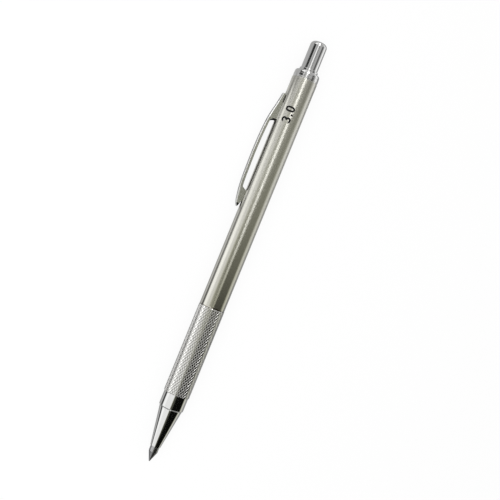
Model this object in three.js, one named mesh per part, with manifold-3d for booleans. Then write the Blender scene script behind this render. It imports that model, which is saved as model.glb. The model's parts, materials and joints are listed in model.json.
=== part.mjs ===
// An all-metal push-button pencil for thick drawing leads, as the separate pieces that it is put
// together from. Sizes are in millimetres.
//
// Each piece is shaped about the pencil's own axis, which is local Y: u, the distance back from the
// lead's point, runs along +Y, and the clip stands out along +Z. The whole pencil is then laid on a
// table, with its point towards +X, resting on its grip and on one edge of its clip.

import * as THREE from "three";
import { mergeVertices } from "three/addons/utils/BufferGeometryUtils.js";
import Module from "manifold-3d";

const wasm = await Module();
wasm.setup();

// Clearances
const SEAM = 0.1; // between two faces that meet end to end
const FIT = 0.1; // between a piece and the bore that holds it
const LEAD_PLAY = 0.08; // between the lead and the bores that guide it
const GRIP_PLAY = 0.05; // between the lead and what grips it

// Lead
const LEAD_DIAMETER = 3.0;
const LEAD_LENGTH = 90;
const LEAD_SHARPENED = 3.4; // length of the sharpened cone
const LEAD_TIP_DIAMETER = 0.3;
const LEAD_OUT = 5.2; // how far the lead stands out of the nose cone

// Chuck: three jaws on a slit stem, closed by a ring
const JAW_LENGTH = 10;
const JAW_INSET = 1.3; // from the jaws' front end to the nose cone's rear edge
const JAW_GRIP_LENGTH = 4.2; // the stretch that grips the lead
const JAW_SLIT = 0.35;
const JAW_COUNT = 3;
const STEM_PLAY = 0.15; // between the lead and the stem's bore
const STEM_WALL = 0.3;
const HEAD_RISE = 0.5; // how far the jaws' head stands above the stem
const HEAD_BEVEL = 0.8; // length of the bevel at the head's front
const HEAD_TAPER = 3.7; // length of the cone behind it
const RING_LENGTH = 2;
const RING_SETBACK = 2; // from the jaws' front end to the ring at rest
const RING_WALL = 0.5;
const RING_TRAVEL = 1; // how far the ring goes with the jaws

// Return spring
const WIRE = 0.36;
const SPRING_LENGTH = 13.3;
const SPRING_TURNS = 9;
const SPRING_PLAY = 0.22; // between the spring and what is inside and around it
const SPRING_STEPS = 8; // sections in a turn
const SPRING_SIDES = 5;

// Guide sleeve, clamped between the nose cone and the grip
const SLEEVE_WALL = 0.3;
const SLEEVE_FRONT = 6.5; // depth of the narrow bore in front of the spring
const FLANGE_LENGTH = 0.8;

// Nose cone
const CONE_LENGTH = 13.1;
const CONE_STEP = 0.3; // radial step from the cone's rear edge up to the grip's band
const CONE_WALL = 0.42;
const MOUTH_WALL = 0.14;
const SPIGOT_LENGTH = 6; // the threaded spigot
const SPIGOT_WALL = 0.5;
const RING_STOP = 0.15; // height of the shoulder that stops the ring
const RETAINER_DEPTH = 4.4; // from the mouth to the rubber ring
const RETAINER_LENGTH = 2;
const RETAINER_WALL = 0.43;

// Grip
const BAND_LENGTH = 4.8; // the smooth band in front of the knurl
const BAND_WALL = 0.5;
const BAND_BEVEL = 0.28;
const KNURL_LENGTH = 30;
const KNURL_RISE = 0.25; // how far the knurl's crests stand above the band
const KNURL_BEVEL = 0.2;

// Barrel tube and the bush that joins it to the grip
const BARREL_LENGTH = 78.6;
const BARREL_WALL = 0.5;
const BARREL_BEVEL = 0.1;
const BUSH_IN_GRIP = 5;
const BUSH_IN_BARREL = 7;

// Connector that joins the chuck's stem to the lead tube
const CONNECTOR_LENGTH = 5;
const CONNECTOR_STEM = 2.4; // depth of the stem's seat

// Lead tube
const TUBE_PLAY = 0.25; // between the lead and the tube
const TUBE_WALL = 0.4;

// Push button
const BUTTON_OUT = 9.5; // how far it stands out behind the bush's rim
const BUTTON_WALL = 0.52;
const BUTTON_END = 2; // thickness of its end
const BUTTON_SKIRT = 4.6; // length inside the bush
const BUTTON_ROUND = 1.4; // radius of its rounded end

// Rear collar and the bush that guides the button
const COLLAR_INSERT = 4.5; // length inside the barrel
const COLLAR_WALL = 0.43;
const COLLAR_STEP = 0.05; // how far the collar is below the barrel's surface
const COLLAR_BAND = 1.8;
const COLLAR_SHOULDER = 0.85; // length of the rounded shoulder
const GROOVE = 0.12; // width and depth of the turned lines
const GUIDE_WALL = 0.24;
const GUIDE_RIM = 0.75; // length of the rim that shows

// Clip
const CLIP_LENGTH = 39;
const CLIP_BACK = 6.5; // from the clip's rear end to the barrel's rear end
const CLIP_RISE = 2.9; // greatest height above the barrel
const CLIP_HEAD_WIDTH = 4;
const CLIP_FOOT_WIDTH = 2.8;
const CLIP_NOSE_WIDTH = 1.2;
const CLIP_SHEET = 0.45;
const CLIP_BEND = 0.75; // outer radius of the two long bends
const CLIP_FLANGE = 1.25; // depth of the arm's side walls
const CLIP_SEAT = 5.5; // length of the head that bears on the barrel
const CLIP_OVERHANG = 2.9; // from the seat to the clip's rear end
const CLIP_HEEL = 0.35; // gap under that overhang
const FOOT_TOE = 2.2; // from the clip's front end to where its foot touches the barrel
const FOOT_LENGTH = 3.5; // the stretch that touches
const FOOT_SLANT = 0.8;
const TONGUE_WIDTH = 1.8;
const TONGUE_HOOK = 2.5; // length of the hook inside the barrel
const TONGUE_SETBACK = 0.9; // from the tongue's front face to the seat's rear end
const SLOT_PLAY = 0.2;

const FACETS = 40; // flats around every turned piece

// Radii, from the lead outwards
const leadR = LEAD_DIAMETER / 2;
const mouthBoreR = leadR + LEAD_PLAY;
const jawBoreR = leadR + GRIP_PLAY;
const stemBoreR = leadR + STEM_PLAY;
const stemR = stemBoreR + STEM_WALL;
const headR = stemR + HEAD_RISE;
const ringBoreR = headR - (HEAD_RISE * (RING_SETBACK - HEAD_BEVEL)) / HEAD_TAPER + FIT;
const ringR = ringBoreR + RING_WALL;
const spigotBoreR = ringR + FIT;
const spigotR = spigotBoreR + SPIGOT_WALL;
const springR = stemR + SPRING_PLAY + WIRE / 2;
const sleeveBoreR = springR + WIRE / 2 + SPRING_PLAY;
const sleeveR = sleeveBoreR + SLEEVE_WALL;
const gripBoreR = Math.max(spigotR, sleeveR) + FIT;
const bandR = gripBoreR + BAND_WALL;
const knurlR = bandR + KNURL_RISE;
const tubeBoreR = leadR + TUBE_PLAY;
const tubeR = tubeBoreR + TUBE_WALL;
const buttonBoreR = tubeR + FIT;
const buttonR = buttonBoreR + BUTTON_WALL;
const guideBoreR = buttonR + FIT;
const guideR = guideBoreR + GUIDE_WALL;
const collarBoreR = guideR + FIT;
const insertR = collarBoreR + COLLAR_WALL;
const barrelBoreR = insertR + FIT;
const barrelR = barrelBoreR + BARREL_WALL;
const collarR = barrelR - COLLAR_STEP;
const mouthR = mouthBoreR + MOUTH_WALL;
const coneR = bandR - CONE_STEP;

// Places along the axis, back from the lead's point
const mouthU = LEAD_OUT;
const coneEndU = mouthU + CONE_LENGTH;
const gripU = coneEndU + SEAM;
const knurlU = gripU + BAND_LENGTH;
const gripEndU = knurlU + KNURL_LENGTH;
const barrelU = gripEndU + SEAM;
const barrelEndU = barrelU + BARREL_LENGTH;
const collarU = barrelEndU + SEAM;
const shoulderU = collarU + COLLAR_BAND;
const collarEndU = shoulderU + COLLAR_SHOULDER;
const rimU = collarEndU + SEAM;
const rimEndU = rimU + GUIDE_RIM;
const buttonEndU = rimEndU + BUTTON_OUT;
const spigotEndU = coneEndU + SPIGOT_LENGTH;
const jawU = coneEndU - JAW_INSET;
const jawEndU = jawU + JAW_LENGTH;
const ringU = jawU + RING_SETBACK;
const ringEndU = ringU + RING_LENGTH;
const sleeveU = ringEndU + SEAM;
const flangeU = spigotEndU + SEAM;
const flangeEndU = flangeU + FLANGE_LENGTH;
const springU = sleeveU + SLEEVE_FRONT + SEAM;
const springEndU = springU + SPRING_LENGTH;
const connectorU = springEndU + SEAM;
const connectorEndU = connectorU + CONNECTOR_LENGTH;
const sleeveEndU = connectorEndU + SEAM;
const stemEndU = connectorU + CONNECTOR_STEM - SEAM;
const tubeU = connectorU + CONNECTOR_STEM + SEAM;
const tubeEndU = buttonEndU - BUTTON_END - SEAM;
const clipEndU = barrelEndU - CLIP_BACK;
const clipU = clipEndU - CLIP_LENGTH;
const seatEndU = clipEndU - CLIP_OVERHANG;
const headU = seatEndU - CLIP_SEAT;
const tongueU = seatEndU - TONGUE_SETBACK;

// The clip's outer line: shares of its length from the rear end, and of its greatest height.
const clipLine = new THREE.SplineCurve(
  [
    [0, 0.3],
    [0.08, 0.46],
    [0.2, 0.78],
    [0.3, 0.92],
    [0.46, 1],
    [0.62, 0.99],
    [0.8, 0.91],
    [0.92, 0.72],
    [0.97, 0.58],
    [1, 0.4],
  ].map(([along, height]) => new THREE.Vector2(along, height)),
);
const CLIP_STATIONS = 30;
const clipStations = clipLine.getPoints(CLIP_STATIONS).map(({ x, y }) => {
  const halfFoot = CLIP_FOOT_WIDTH / 2;
  const halfNose = CLIP_NOSE_WIDTH / 2;
  const plain = THREE.MathUtils.lerp(CLIP_HEAD_WIDTH / 2, halfFoot, x);
  const fromNose = Math.min((1 - x) * (CLIP_LENGTH / halfFoot), 1);
  const round = Math.sqrt(1 - (1 - fromNose) ** 2);
  return {
    u: clipEndU - x * CLIP_LENGTH,
    top: barrelR + y * CLIP_RISE,
    half: halfNose + (plain - halfNose) * round,
  };
});

// How far the pencil rolls until the clip's bend and the grip touch the same table: the angle
// between the clip's direction and straight down.
const restR = knurlR * Math.cos(Math.PI / FACETS);
const rollAngle = Math.max(
  ...clipStations.map(({ top, half }) => {
    const out = top - CLIP_BEND;
    const side = half - CLIP_BEND;
    return Math.acos((restR - CLIP_BEND) / Math.hypot(out, side)) + Math.atan2(side, out);
  }),
);
const facetStart = -rollAngle - Math.PI / FACETS; // puts the middle of a flat underneath

// Geometry helpers

// Joins a geometry's vertices by place, and drops the faces that this closes up.
function welded(geometry) {
  const bare = geometry.clone();
  Object.keys(bare.attributes)
    .filter((name) => name !== "position")
    .forEach((name) => bare.deleteAttribute(name));
  const merged = mergeVertices(bare, 1e-5);
  const corners = merged.index.array;
  const kept = [];
  for (let i = 0; i < corners.length; i += 3) {
    const [a, b, c] = corners.slice(i, i + 3);
    if (a !== b && b !== c && c !== a) kept.push(a, b, c);
  }
  return merged.setIndex(kept);
}

// Turns an outline of [u, radius] points about the axis. One that starts and ends on the axis makes
// a solid, and any other closes on itself and makes a ring.
function revolve(outline) {
  const loop = outline[0][1] === 0 ? outline : [...outline, outline[0]];
  const turn = loop.reduce((sum, [u, r], i) => {
    const [nextU, nextR] = loop[(i + 1) % loop.length];
    return sum + u * nextR - nextU * r;
  }, 0);
  const points = loop.map(([u, r]) => new THREE.Vector2(r, u));
  if (turn > 0) points.reverse();
  return welded(new THREE.LatheGeometry(points, FACETS, facetStart));
}

// A tube between two places, with its outer and its bore radius.
const tube = (from, to, outer, bore) =>
  revolve([
    [from, bore],
    [from, outer],
    [to, outer],
    [to, bore],
  ]);

// A plain round bar between two places.
const bar = (from, to, radius) =>
  revolve([
    [from, 0],
    [from, radius],
    [to, radius],
    [to, 0],
  ]);

// A straight extrusion whose axes (across, up, depth) are laid along three given directions.
function extruded(outline, depth, across, up, along) {
  const shape = new THREE.Shape(outline.map(([x, y]) => new THREE.Vector2(x, y)));
  const geometry = new THREE.ExtrudeGeometry(shape, { depth, bevelEnabled: false });
  return geometry.applyMatrix4(new THREE.Matrix4().makeBasis(across, up, along));
}

// A slab across the clip: an outline of [u, height] points, made halfWidth thick to each side.
function slab(outline, halfWidth) {
  const [x, y, z] = [
    [1, 0, 0],
    [0, 1, 0],
    [0, 0, 1],
  ].map((axis) => new THREE.Vector3(...axis));
  return extruded(outline, 2 * halfWidth, y, z, x).translate(-halfWidth, 0, 0);
}

// A box over a stretch of the axis, with its half width and its lowest and highest height.
const block = (from, to, halfWidth, low, high) =>
  slab(
    [
      [from, low],
      [to, low],
      [to, high],
      [from, high],
    ],
    halfWidth,
  );

function solidOf(geometry) {
  const { attributes, index } = welded(geometry);
  return new wasm.Manifold(
    new wasm.Mesh({
      numProp: 3,
      vertProperties: new Float32Array(attributes.position.array),
      triVerts: new Uint32Array(index.array),
    }),
  );
}

function geometryOf(solid) {
  const { vertProperties, triVerts } = solid.getMesh();
  return new THREE.BufferGeometry()
    .setAttribute("position", new THREE.BufferAttribute(vertProperties, 3))
    .setIndex(new THREE.BufferAttribute(triVerts, 1));
}

// A surface through rings of points, each ring with as many points, closed by a flat at both ends.
// endFaces lists the triangles of the first ring's flat.
function loft(rings, endFaces) {
  const count = rings[0].length;
  const faces = endFaces.map(([a, b, c]) => [c, b, a]);
  rings.slice(1).forEach((_, i) => {
    for (let k = 0; k < count; k++) {
      const [a, b] = [i * count + k, i * count + ((k + 1) % count)];
      faces.push([a, b, b + count], [a, b + count, a + count]);
    }
  });
  const last = (rings.length - 1) * count;
  endFaces.forEach((face) => faces.push(face.map((corner) => corner + last)));
  const places = rings.flat().flatMap((point) => point.toArray());
  return new THREE.BufferGeometry()
    .setAttribute("position", new THREE.Float32BufferAttribute(places, 3))
    .setIndex(faces.flat());
}

// Lead

// A drawn graphite rod, sharpened to a cone.
function leadGeometry() {
  return revolve([
    [0, 0],
    [0, LEAD_TIP_DIAMETER / 2],
    [LEAD_SHARPENED, leadR],
    [LEAD_LENGTH, leadR],
    [LEAD_LENGTH, 0],
  ]);
}

// Nose cone, its rubber ring and what it clamps

const coneRAt = (u) => mouthR + ((coneR - mouthR) * (u - mouthU)) / CONE_LENGTH;
const retainerU = mouthU + RETAINER_DEPTH;
const retainerEndU = retainerU + RETAINER_LENGTH;
const retainerBoreR = jawBoreR;
const retainerR = retainerBoreR + RETAINER_WALL;

// A straight cone with a spigot that screws into the grip. Its chamber widens beside the outer
// cone to give the jaws room, and a shoulder at its rear stops the clutch ring.
function noseConeGeometry() {
  const pocketR = retainerR + FIT;
  const chamberU = retainerEndU + FIT;
  const chamberR = spigotBoreR - RING_STOP;
  const straightU = mouthU + (CONE_LENGTH * (chamberR + CONE_WALL - mouthR)) / (coneR - mouthR);
  return revolve([
    [mouthU, mouthBoreR],
    [mouthU, mouthR],
    [coneEndU, coneR],
    [coneEndU, spigotR],
    [spigotEndU, spigotR],
    [spigotEndU, spigotBoreR],
    [ringU - RING_TRAVEL - SEAM, spigotBoreR],
    [ringU - RING_TRAVEL - SEAM, chamberR],
    [straightU, chamberR],
    [chamberU, coneRAt(chamberU) - CONE_WALL],
    [chamberU, pocketR],
    [retainerU - SEAM, pocketR],
    [retainerU - SEAM, mouthBoreR],
  ]);
}

const retainerGeometry = () => tube(retainerU, retainerEndU, retainerR, retainerBoreR);

// The sleeve's nose guides the stem and backs the clutch ring, its flange is clamped, and its long
// bore holds the return spring.
function guideSleeveGeometry() {
  const noseR = spigotBoreR - FIT;
  const noseBoreR = stemR + FIT;
  return revolve([
    [sleeveU, noseBoreR],
    [sleeveU, noseR],
    [flangeU, noseR],
    [flangeU, spigotR],
    [flangeEndU, spigotR],
    [flangeEndU, sleeveR],
    [sleeveEndU, sleeveR],
    [sleeveEndU, sleeveBoreR],
    [springU - SEAM, sleeveBoreR],
    [springU - SEAM, noseBoreR],
  ]);
}

// Chuck

const clutchRingGeometry = () => tube(ringU, ringEndU, ringR, ringBoreR);

// The three jaws as one slit ring of metal: a bevelled head with a cone behind it, on a thin stem.
function jawsOutline() {
  return [
    [jawU, jawBoreR],
    [jawU, headR - HEAD_RISE / 2],
    [jawU + HEAD_BEVEL, headR],
    [jawU + HEAD_BEVEL + HEAD_TAPER, stemR],
    [jawEndU, stemR],
    [jawEndU, stemBoreR],
    [jawU + JAW_GRIP_LENGTH, stemBoreR],
    [jawU + JAW_GRIP_LENGTH, jawBoreR],
  ];
}

// One jaw: the part of the slit ring inside its own sector, half a slit back from each side.
function jawGeometry(number) {
  const middle = (2 * Math.PI * number) / JAW_COUNT;
  const halfSector = Math.PI / JAW_COUNT;
  const reach = 4 * headR;
  const toward = (angle, far) => [far * Math.sin(angle), far * Math.cos(angle)];
  const [apexX, apexZ] = toward(middle, JAW_SLIT / 2 / Math.sin(halfSector));
  const sector = [
    [apexX, apexZ],
    ...[-halfSector, 0, halfSector].map((side) => {
      const [x, z] = toward(middle + side, reach);
      return [apexX + x, apexZ + z];
    }),
  ];
  const wedge = extruded(
    sector,
    JAW_LENGTH + 2 * SEAM,
    new THREE.Vector3(1, 0, 0),
    new THREE.Vector3(0, 0, 1),
    new THREE.Vector3(0, -1, 0),
  ).translate(0, jawEndU + SEAM, 0);
  return geometryOf(solidOf(revolve(jawsOutline())).intersect(solidOf(wedge)));
}

const stemGeometry = () => tube(jawEndU + SEAM, stemEndU, stemR, stemBoreR);

// The connector takes the stem in front and the lead tube behind, and the spring pushes on it.
function connectorGeometry() {
  const outer = sleeveBoreR - FIT;
  const tubeSeatR = tubeR + FIT;
  return revolve([
    [connectorU, stemR + FIT],
    [connectorU, outer],
    [connectorEndU, outer],
    [connectorEndU, tubeSeatR],
    [connectorU + CONNECTOR_STEM, tubeSeatR],
    [connectorU + CONNECTOR_STEM, stemR + FIT],
  ]);
}

// Return spring

// The spring's centre line at a step of its helix.
function springPoint(step) {
  const angle = (2 * Math.PI * step) / SPRING_STEPS;
  const climb = (SPRING_LENGTH - WIRE) / (SPRING_TURNS * SPRING_STEPS);
  const u = springU + WIRE / 2 + step * climb;
  return new THREE.Vector3(springR * Math.cos(angle), u, springR * Math.sin(angle));
}

// One unbroken wire: a small ring of points round each step of the helix.
function springGeometry() {
  const steps = SPRING_TURNS * SPRING_STEPS;
  const rings = Array.from({ length: steps + 1 }, (_, step) => {
    const centre = springPoint(step);
    const outwards = new THREE.Vector3(centre.x, 0, centre.z).normalize();
    return Array.from({ length: SPRING_SIDES }, (_, side) => {
      const angle = (2 * Math.PI * side) / SPRING_SIDES;
      return centre
        .clone()
        .addScaledVector(outwards, (WIRE / 2) * Math.cos(angle))
        .add(new THREE.Vector3(0, (WIRE / 2) * Math.sin(angle), 0));
    });
  });
  const fan = Array.from({ length: SPRING_SIDES - 2 }, (_, i) => [0, i + 1, i + 2]);
  return loft(rings, fan);
}

// Least gap between two turns of the spring, on the points of its centre line.
function springGap() {
  const points = Array.from({ length: SPRING_TURNS * SPRING_STEPS + 1 }, (_, i) => springPoint(i));
  const apart = points.flatMap((point, i) =>
    points.slice(i + SPRING_STEPS / 2).map((other) => point.distanceTo(other)),
  );
  return Math.min(...apart) - WIRE;
}

// Grip

// A turned sleeve with a smooth band and a knurled stretch. Its bore is threaded for the nose cone,
// narrows behind the guide sleeve's flange, and widens again for the joint bush.
function gripGeometry() {
  const waistR = sleeveR + FIT;
  const bushSeatU = gripEndU - BUSH_IN_GRIP - SEAM;
  return revolve([
    [gripU, gripBoreR],
    [gripU, bandR - BAND_BEVEL],
    [gripU + BAND_BEVEL, bandR],
    [knurlU, bandR],
    [knurlU + KNURL_BEVEL, knurlR],
    [gripEndU - KNURL_BEVEL, knurlR],
    [gripEndU, knurlR - KNURL_BEVEL],
    [gripEndU, gripBoreR],
    [bushSeatU, gripBoreR],
    [bushSeatU, waistR],
    [flangeEndU + SEAM, waistR],
    [flangeEndU + SEAM, gripBoreR],
  ]);
}

// The bush is screwed into the grip and pressed into the barrel.
function jointBushGeometry() {
  const boreR = sleeveR + FIT;
  const frontU = gripEndU - BUSH_IN_GRIP;
  const rearU = barrelU + BUSH_IN_BARREL;
  const frontR = gripBoreR - FIT;
  const rearR = barrelBoreR - FIT;
  return revolve([
    [frontU, boreR],
    [frontU, frontR],
    [barrelU, frontR],
    [barrelU, rearR],
    [rearU, rearR],
    [rearU, boreR],
  ]);
}

// Barrel

// A thin tube with a slot that the clip's tongue goes through.
function barrelGeometry() {
  const body = revolve([
    [barrelU, barrelBoreR],
    [barrelU, barrelR - BARREL_BEVEL],
    [barrelU + BARREL_BEVEL, barrelR],
    [barrelEndU - BARREL_BEVEL, barrelR],
    [barrelEndU, barrelR - BARREL_BEVEL],
    [barrelEndU, barrelBoreR],
  ]);
  const slot = block(
    tongueU - SLOT_PLAY,
    tongueU + CLIP_SHEET + 3 * SLOT_PLAY,
    TONGUE_WIDTH / 2 + SLOT_PLAY,
    barrelBoreR / 2,
    barrelR + CLIP_RISE,
  );
  return geometryOf(solidOf(body).subtract(solidOf(slot)));
}

// Rear collar, button guide, button and lead tube

// A polished collar that closes the barrel: a band, a turned line, a rounded shoulder.
function rearCollarGeometry() {
  const rimR = collarBoreR + GROOVE / 2;
  const drop = collarR - GROOVE - rimR;
  const shoulder = [0.25, 0.5, 0.75, 1].map((share) => [
    shoulderU + GROOVE + (COLLAR_SHOULDER - GROOVE) * Math.sin((share * Math.PI) / 2),
    rimR + drop * Math.cos((share * Math.PI) / 2),
  ]);
  return revolve([
    [barrelEndU - COLLAR_INSERT, collarBoreR],
    [barrelEndU - COLLAR_INSERT, insertR],
    [collarU, insertR],
    [collarU, collarR - BARREL_BEVEL],
    [collarU + BARREL_BEVEL, collarR],
    [shoulderU - GROOVE, collarR],
    [shoulderU, collarR - GROOVE],
    [shoulderU, collarR - 2 * GROOVE],
    [shoulderU + GROOVE, collarR - GROOVE],
    ...shoulder,
    [collarEndU, collarBoreR],
  ]);
}

// A bush that lines the collar and shows as a small rounded rim round the button.
function buttonGuideGeometry() {
  const lip = GUIDE_WALL / 2;
  return revolve([
    [barrelEndU - COLLAR_INSERT, guideBoreR],
    [barrelEndU - COLLAR_INSERT, guideR],
    [rimEndU - 2 * lip, guideR],
    [rimEndU - lip, guideR - lip / 3],
    [rimEndU, guideR - lip],
    [rimEndU, guideBoreR],
  ]);
}

// A deep cap with a rounded end, which slips over the lead tube.
function buttonGeometry() {
  const flatR = buttonR - BUTTON_ROUND;
  const rounding = [0, 0.25, 0.5, 0.75, 1].map((share) => [
    buttonEndU - BUTTON_ROUND * (1 - Math.sin((share * Math.PI) / 2)),
    flatR + BUTTON_ROUND * Math.cos((share * Math.PI) / 2),
  ]);
  return revolve([
    [buttonEndU - BUTTON_END, 0],
    [buttonEndU - BUTTON_END, buttonBoreR],
    [rimEndU - BUTTON_SKIRT, buttonBoreR],
    [rimEndU - BUTTON_SKIRT, buttonR],
    ...rounding,
    [buttonEndU, 0],
  ]);
}

const leadTubeGeometry = () => tube(tubeU, tubeEndU, tubeR, tubeBoreR);

// Clip

const CLIP_WALL_LOW = 0.6; // how far down the uncut side walls reach, as a share of the barrel
const BEND_STEPS = 3;

// The folded sheet's section at a station: down one side wall outside, over the top through both
// bends, and back inside. Its side walls are uncut, and reach down beside the barrel.
function channelSection({ u, top, half }) {
  const outer = Math.min(CLIP_BEND, half - GRIP_PLAY);
  const inner = Math.max(outer - CLIP_SHEET, GRIP_PLAY);
  const low = barrelR * CLIP_WALL_LOW;
  const bends = (radius, halfWidth, height) => {
    const arc = Array.from({ length: BEND_STEPS + 1 }, (_, i) => {
      const angle = (i * Math.PI) / 2 / BEND_STEPS;
      return [
        halfWidth - radius + radius * Math.cos(angle),
        height - radius + radius * Math.sin(angle),
      ];
    });
    return [[halfWidth, low], ...arc, ...arc.map(([x, z]) => [-x, z]).reverse(), [-halfWidth, low]];
  };
  const outside = bends(outer, half, top);
  const inside = bends(inner, half - CLIP_SHEET, top - CLIP_SHEET);
  return [...outside, ...inside.reverse()].map(([x, z]) => new THREE.Vector3(x, u, z));
}

// The channel with its walls uncut, from its rear end to its nose.
function channelGeometry() {
  const rings = clipStations.map(channelSection);
  const flat = rings[0].map(({ x, z }) => new THREE.Vector2(x, z));
  return loft(rings, THREE.ShapeUtils.triangulateShape(flat, []));
}

// Heights along the lower edge of the arm's side walls.
const armEdge = (from, to) =>
  clipStations
    .filter(({ u }) => u > from && u < to)
    .map(({ u, top }) => [u, top - CLIP_FLANGE])
    .reverse();

// One folded sheet: a tapered channel whose side walls reach the barrel at the head and at the
// foot, with a window between them. A flap folded under the head carries the tongue.
function clipGeometry() {
  const wide = CLIP_HEAD_WIDTH;
  const under = (barrelR * CLIP_WALL_LOW) / 2;
  const toeU = clipU + FOOT_TOE;
  const heelU = toeU + FOOT_LENGTH;
  const arch = 1.6;
  const arm = armEdge(heelU + FOOT_SLANT, headU - arch);
  const archTop = arm[arm.length - 1][1];
  const nose = clipStations[clipStations.length - 1];
  const toe = slab(
    [
      [clipU - CLIP_SHEET, under],
      [clipU - CLIP_SHEET, nose.top - CLIP_SHEET],
      [clipU, nose.top - CLIP_SHEET],
      [toeU, barrelR],
      [toeU, under],
    ],
    wide,
  );
  const window = slab(
    [
      [heelU, under],
      [heelU, barrelR],
      [heelU + FOOT_SLANT, arm[0][1]],
      ...arm,
      ...[0.2, 0.4, 0.6, 0.8, 1].map((share) => [
        headU - arch + arch * Math.sin((share * Math.PI) / 2),
        barrelR + (archTop - barrelR) * Math.cos((share * Math.PI) / 2),
      ]),
      [headU, under],
    ],
    wide,
  );
  const seat = bar(clipU - CLIP_SHEET, clipEndU + CLIP_SHEET, barrelR + FIT);
  const heel = bar(seatEndU, clipEndU + CLIP_SHEET, barrelR + CLIP_HEEL);
  const flapLow = barrelR + CLIP_HEEL;
  const headHalf = clipStations.find(({ u }) => u < tongueU).half - CLIP_SHEET / 2;
  const flap = block(tongueU, clipEndU, headHalf, flapLow, flapLow + CLIP_SHEET);
  const hookLow = barrelBoreR - 2 * CLIP_HEEL - CLIP_SHEET / 2;
  const halfTongue = TONGUE_WIDTH / 2;
  const tongue = block(tongueU, tongueU + CLIP_SHEET, halfTongue, hookLow, flapLow + CLIP_SHEET / 2);
  const hook = block(tongueU, tongueU + TONGUE_HOOK, halfTongue, hookLow, hookLow + CLIP_SHEET);
  const sheet = [toe, window, seat, heel].reduce(
    (left, cut) => left.subtract(solidOf(cut)),
    solidOf(channelGeometry()),
  );
  return geometryOf([flap, tongue, hook].reduce((whole, more) => whole.add(solidOf(more)), sheet));
}

// Finishes

const finish = (color, metalness, roughness) =>
  new THREE.MeshStandardMaterial({ color, metalness, roughness });
const polished = finish(0xd9d9d8, 1, 0.08);
const knurled = finish(0xbfbfbd, 1, 0.3);
const satin = finish(0xb5b2a6, 1, 0.35);
const brass = finish(0xc9a24e, 1, 0.3);
const springSteel = finish(0x9c9c9a, 1, 0.3);
const rubber = finish(0x26262a, 0, 0.8);
const graphite = finish(0x2b2b2e, 0.2, 0.45);

// Assembly

function piece(name, geometry, material) {
  const flat = geometry.toNonIndexed();
  flat.computeVertexNormals();
  const mesh = new THREE.Mesh(flat, material);
  mesh.name = name;
  return mesh;
}

const jaws = Array.from({ length: JAW_COUNT }, (_, i) =>
  piece(`chuck_jaw_${i + 1}`, jawGeometry(i), brass),
);

const nose = new THREE.Group();
nose.add(piece("nose_cone", noseConeGeometry(), polished));
nose.add(piece("lead_retainer", retainerGeometry(), rubber));

const barrel = new THREE.Group();
barrel.add(piece("grip", gripGeometry(), knurled));
barrel.add(piece("guide_sleeve", guideSleeveGeometry(), brass));
barrel.add(piece("joint_bush", jointBushGeometry(), brass));
barrel.add(piece("barrel_tube", barrelGeometry(), satin));
barrel.add(piece("rear_collar", rearCollarGeometry(), polished));
barrel.add(piece("button_guide", buttonGuideGeometry(), polished));
barrel.add(piece("return_spring", springGeometry(), springSteel));

const feed = new THREE.Group();
feed.add(piece("chuck_stem", stemGeometry(), brass));
feed.add(...jaws);
feed.add(piece("tube_connector", connectorGeometry(), brass));
feed.add(piece("lead_tube", leadTubeGeometry(), springSteel));
feed.add(piece("push_button", buttonGeometry(), polished));

const upright = new THREE.Group();
upright.add(nose, barrel, feed);
upright.add(piece("clutch_ring", clutchRingGeometry(), brass));
upright.add(piece("lead", leadGeometry(), graphite));
upright.add(piece("clip", clipGeometry(), polished));

// Local Y turns to point along -X, then the clip rolls down towards the table on the -Y side.
upright.rotation.z = Math.PI / 2;
const rolled = new THREE.Group();
rolled.add(upright);
rolled.rotation.x = Math.PI - rollAngle;

// The origin is under the middle of the whole pencil, on the table.
const pencil = new THREE.Group();
pencil.add(rolled);
const bounds = new THREE.Box3().setFromObject(pencil, true);
const middle = bounds.getCenter(new THREE.Vector3());
rolled.position.set(-middle.x, -middle.y, -bounds.min.z);

console.log(`least gap between the spring's turns: ${springGap().toFixed(2)} mm`);

export default pencil;
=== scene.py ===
"""Looks of an all-metal push-button clutch pencil that lies on a pale table.

Every piece is shaped about the pencil's own axis. Along is the distance back from the lead's
point, out is the distance from the axis towards the clip, and across is square to both, all in
millimetres. An angle round the axis is 0 at the clip, and PencilAxis turns these into the frame's
own metres.
"""

import json
import logging
import math
from dataclasses import dataclass, field
from enum import Enum
from typing import Any, Callable

import bpy
import numpy as np
from mathutils import Matrix, Vector


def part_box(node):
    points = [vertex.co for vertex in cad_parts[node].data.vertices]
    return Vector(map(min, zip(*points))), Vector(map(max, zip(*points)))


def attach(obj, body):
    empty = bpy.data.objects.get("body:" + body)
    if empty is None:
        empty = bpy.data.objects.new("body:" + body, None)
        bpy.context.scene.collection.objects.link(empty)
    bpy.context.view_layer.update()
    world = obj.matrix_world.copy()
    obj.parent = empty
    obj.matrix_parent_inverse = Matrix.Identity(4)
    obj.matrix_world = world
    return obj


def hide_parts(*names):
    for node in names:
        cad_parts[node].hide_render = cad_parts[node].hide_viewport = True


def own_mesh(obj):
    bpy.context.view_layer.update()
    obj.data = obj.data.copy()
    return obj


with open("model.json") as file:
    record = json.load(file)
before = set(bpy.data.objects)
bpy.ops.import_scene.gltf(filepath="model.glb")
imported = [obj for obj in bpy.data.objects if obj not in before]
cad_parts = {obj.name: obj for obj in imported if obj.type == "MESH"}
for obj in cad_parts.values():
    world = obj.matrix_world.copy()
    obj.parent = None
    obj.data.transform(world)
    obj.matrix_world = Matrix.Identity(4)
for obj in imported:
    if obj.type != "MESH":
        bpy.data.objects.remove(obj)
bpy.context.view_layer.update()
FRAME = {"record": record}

LOG = logging.getLogger("pencil")
MM = 0.001
SEGMENTS = 128
SHARP_ANGLE = math.radians(31)
BARREL_RADIUS = 4.24  # of the barrel tube, in mm
BARREL_BORE = 3.74  # radius of its bore, in mm
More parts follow.
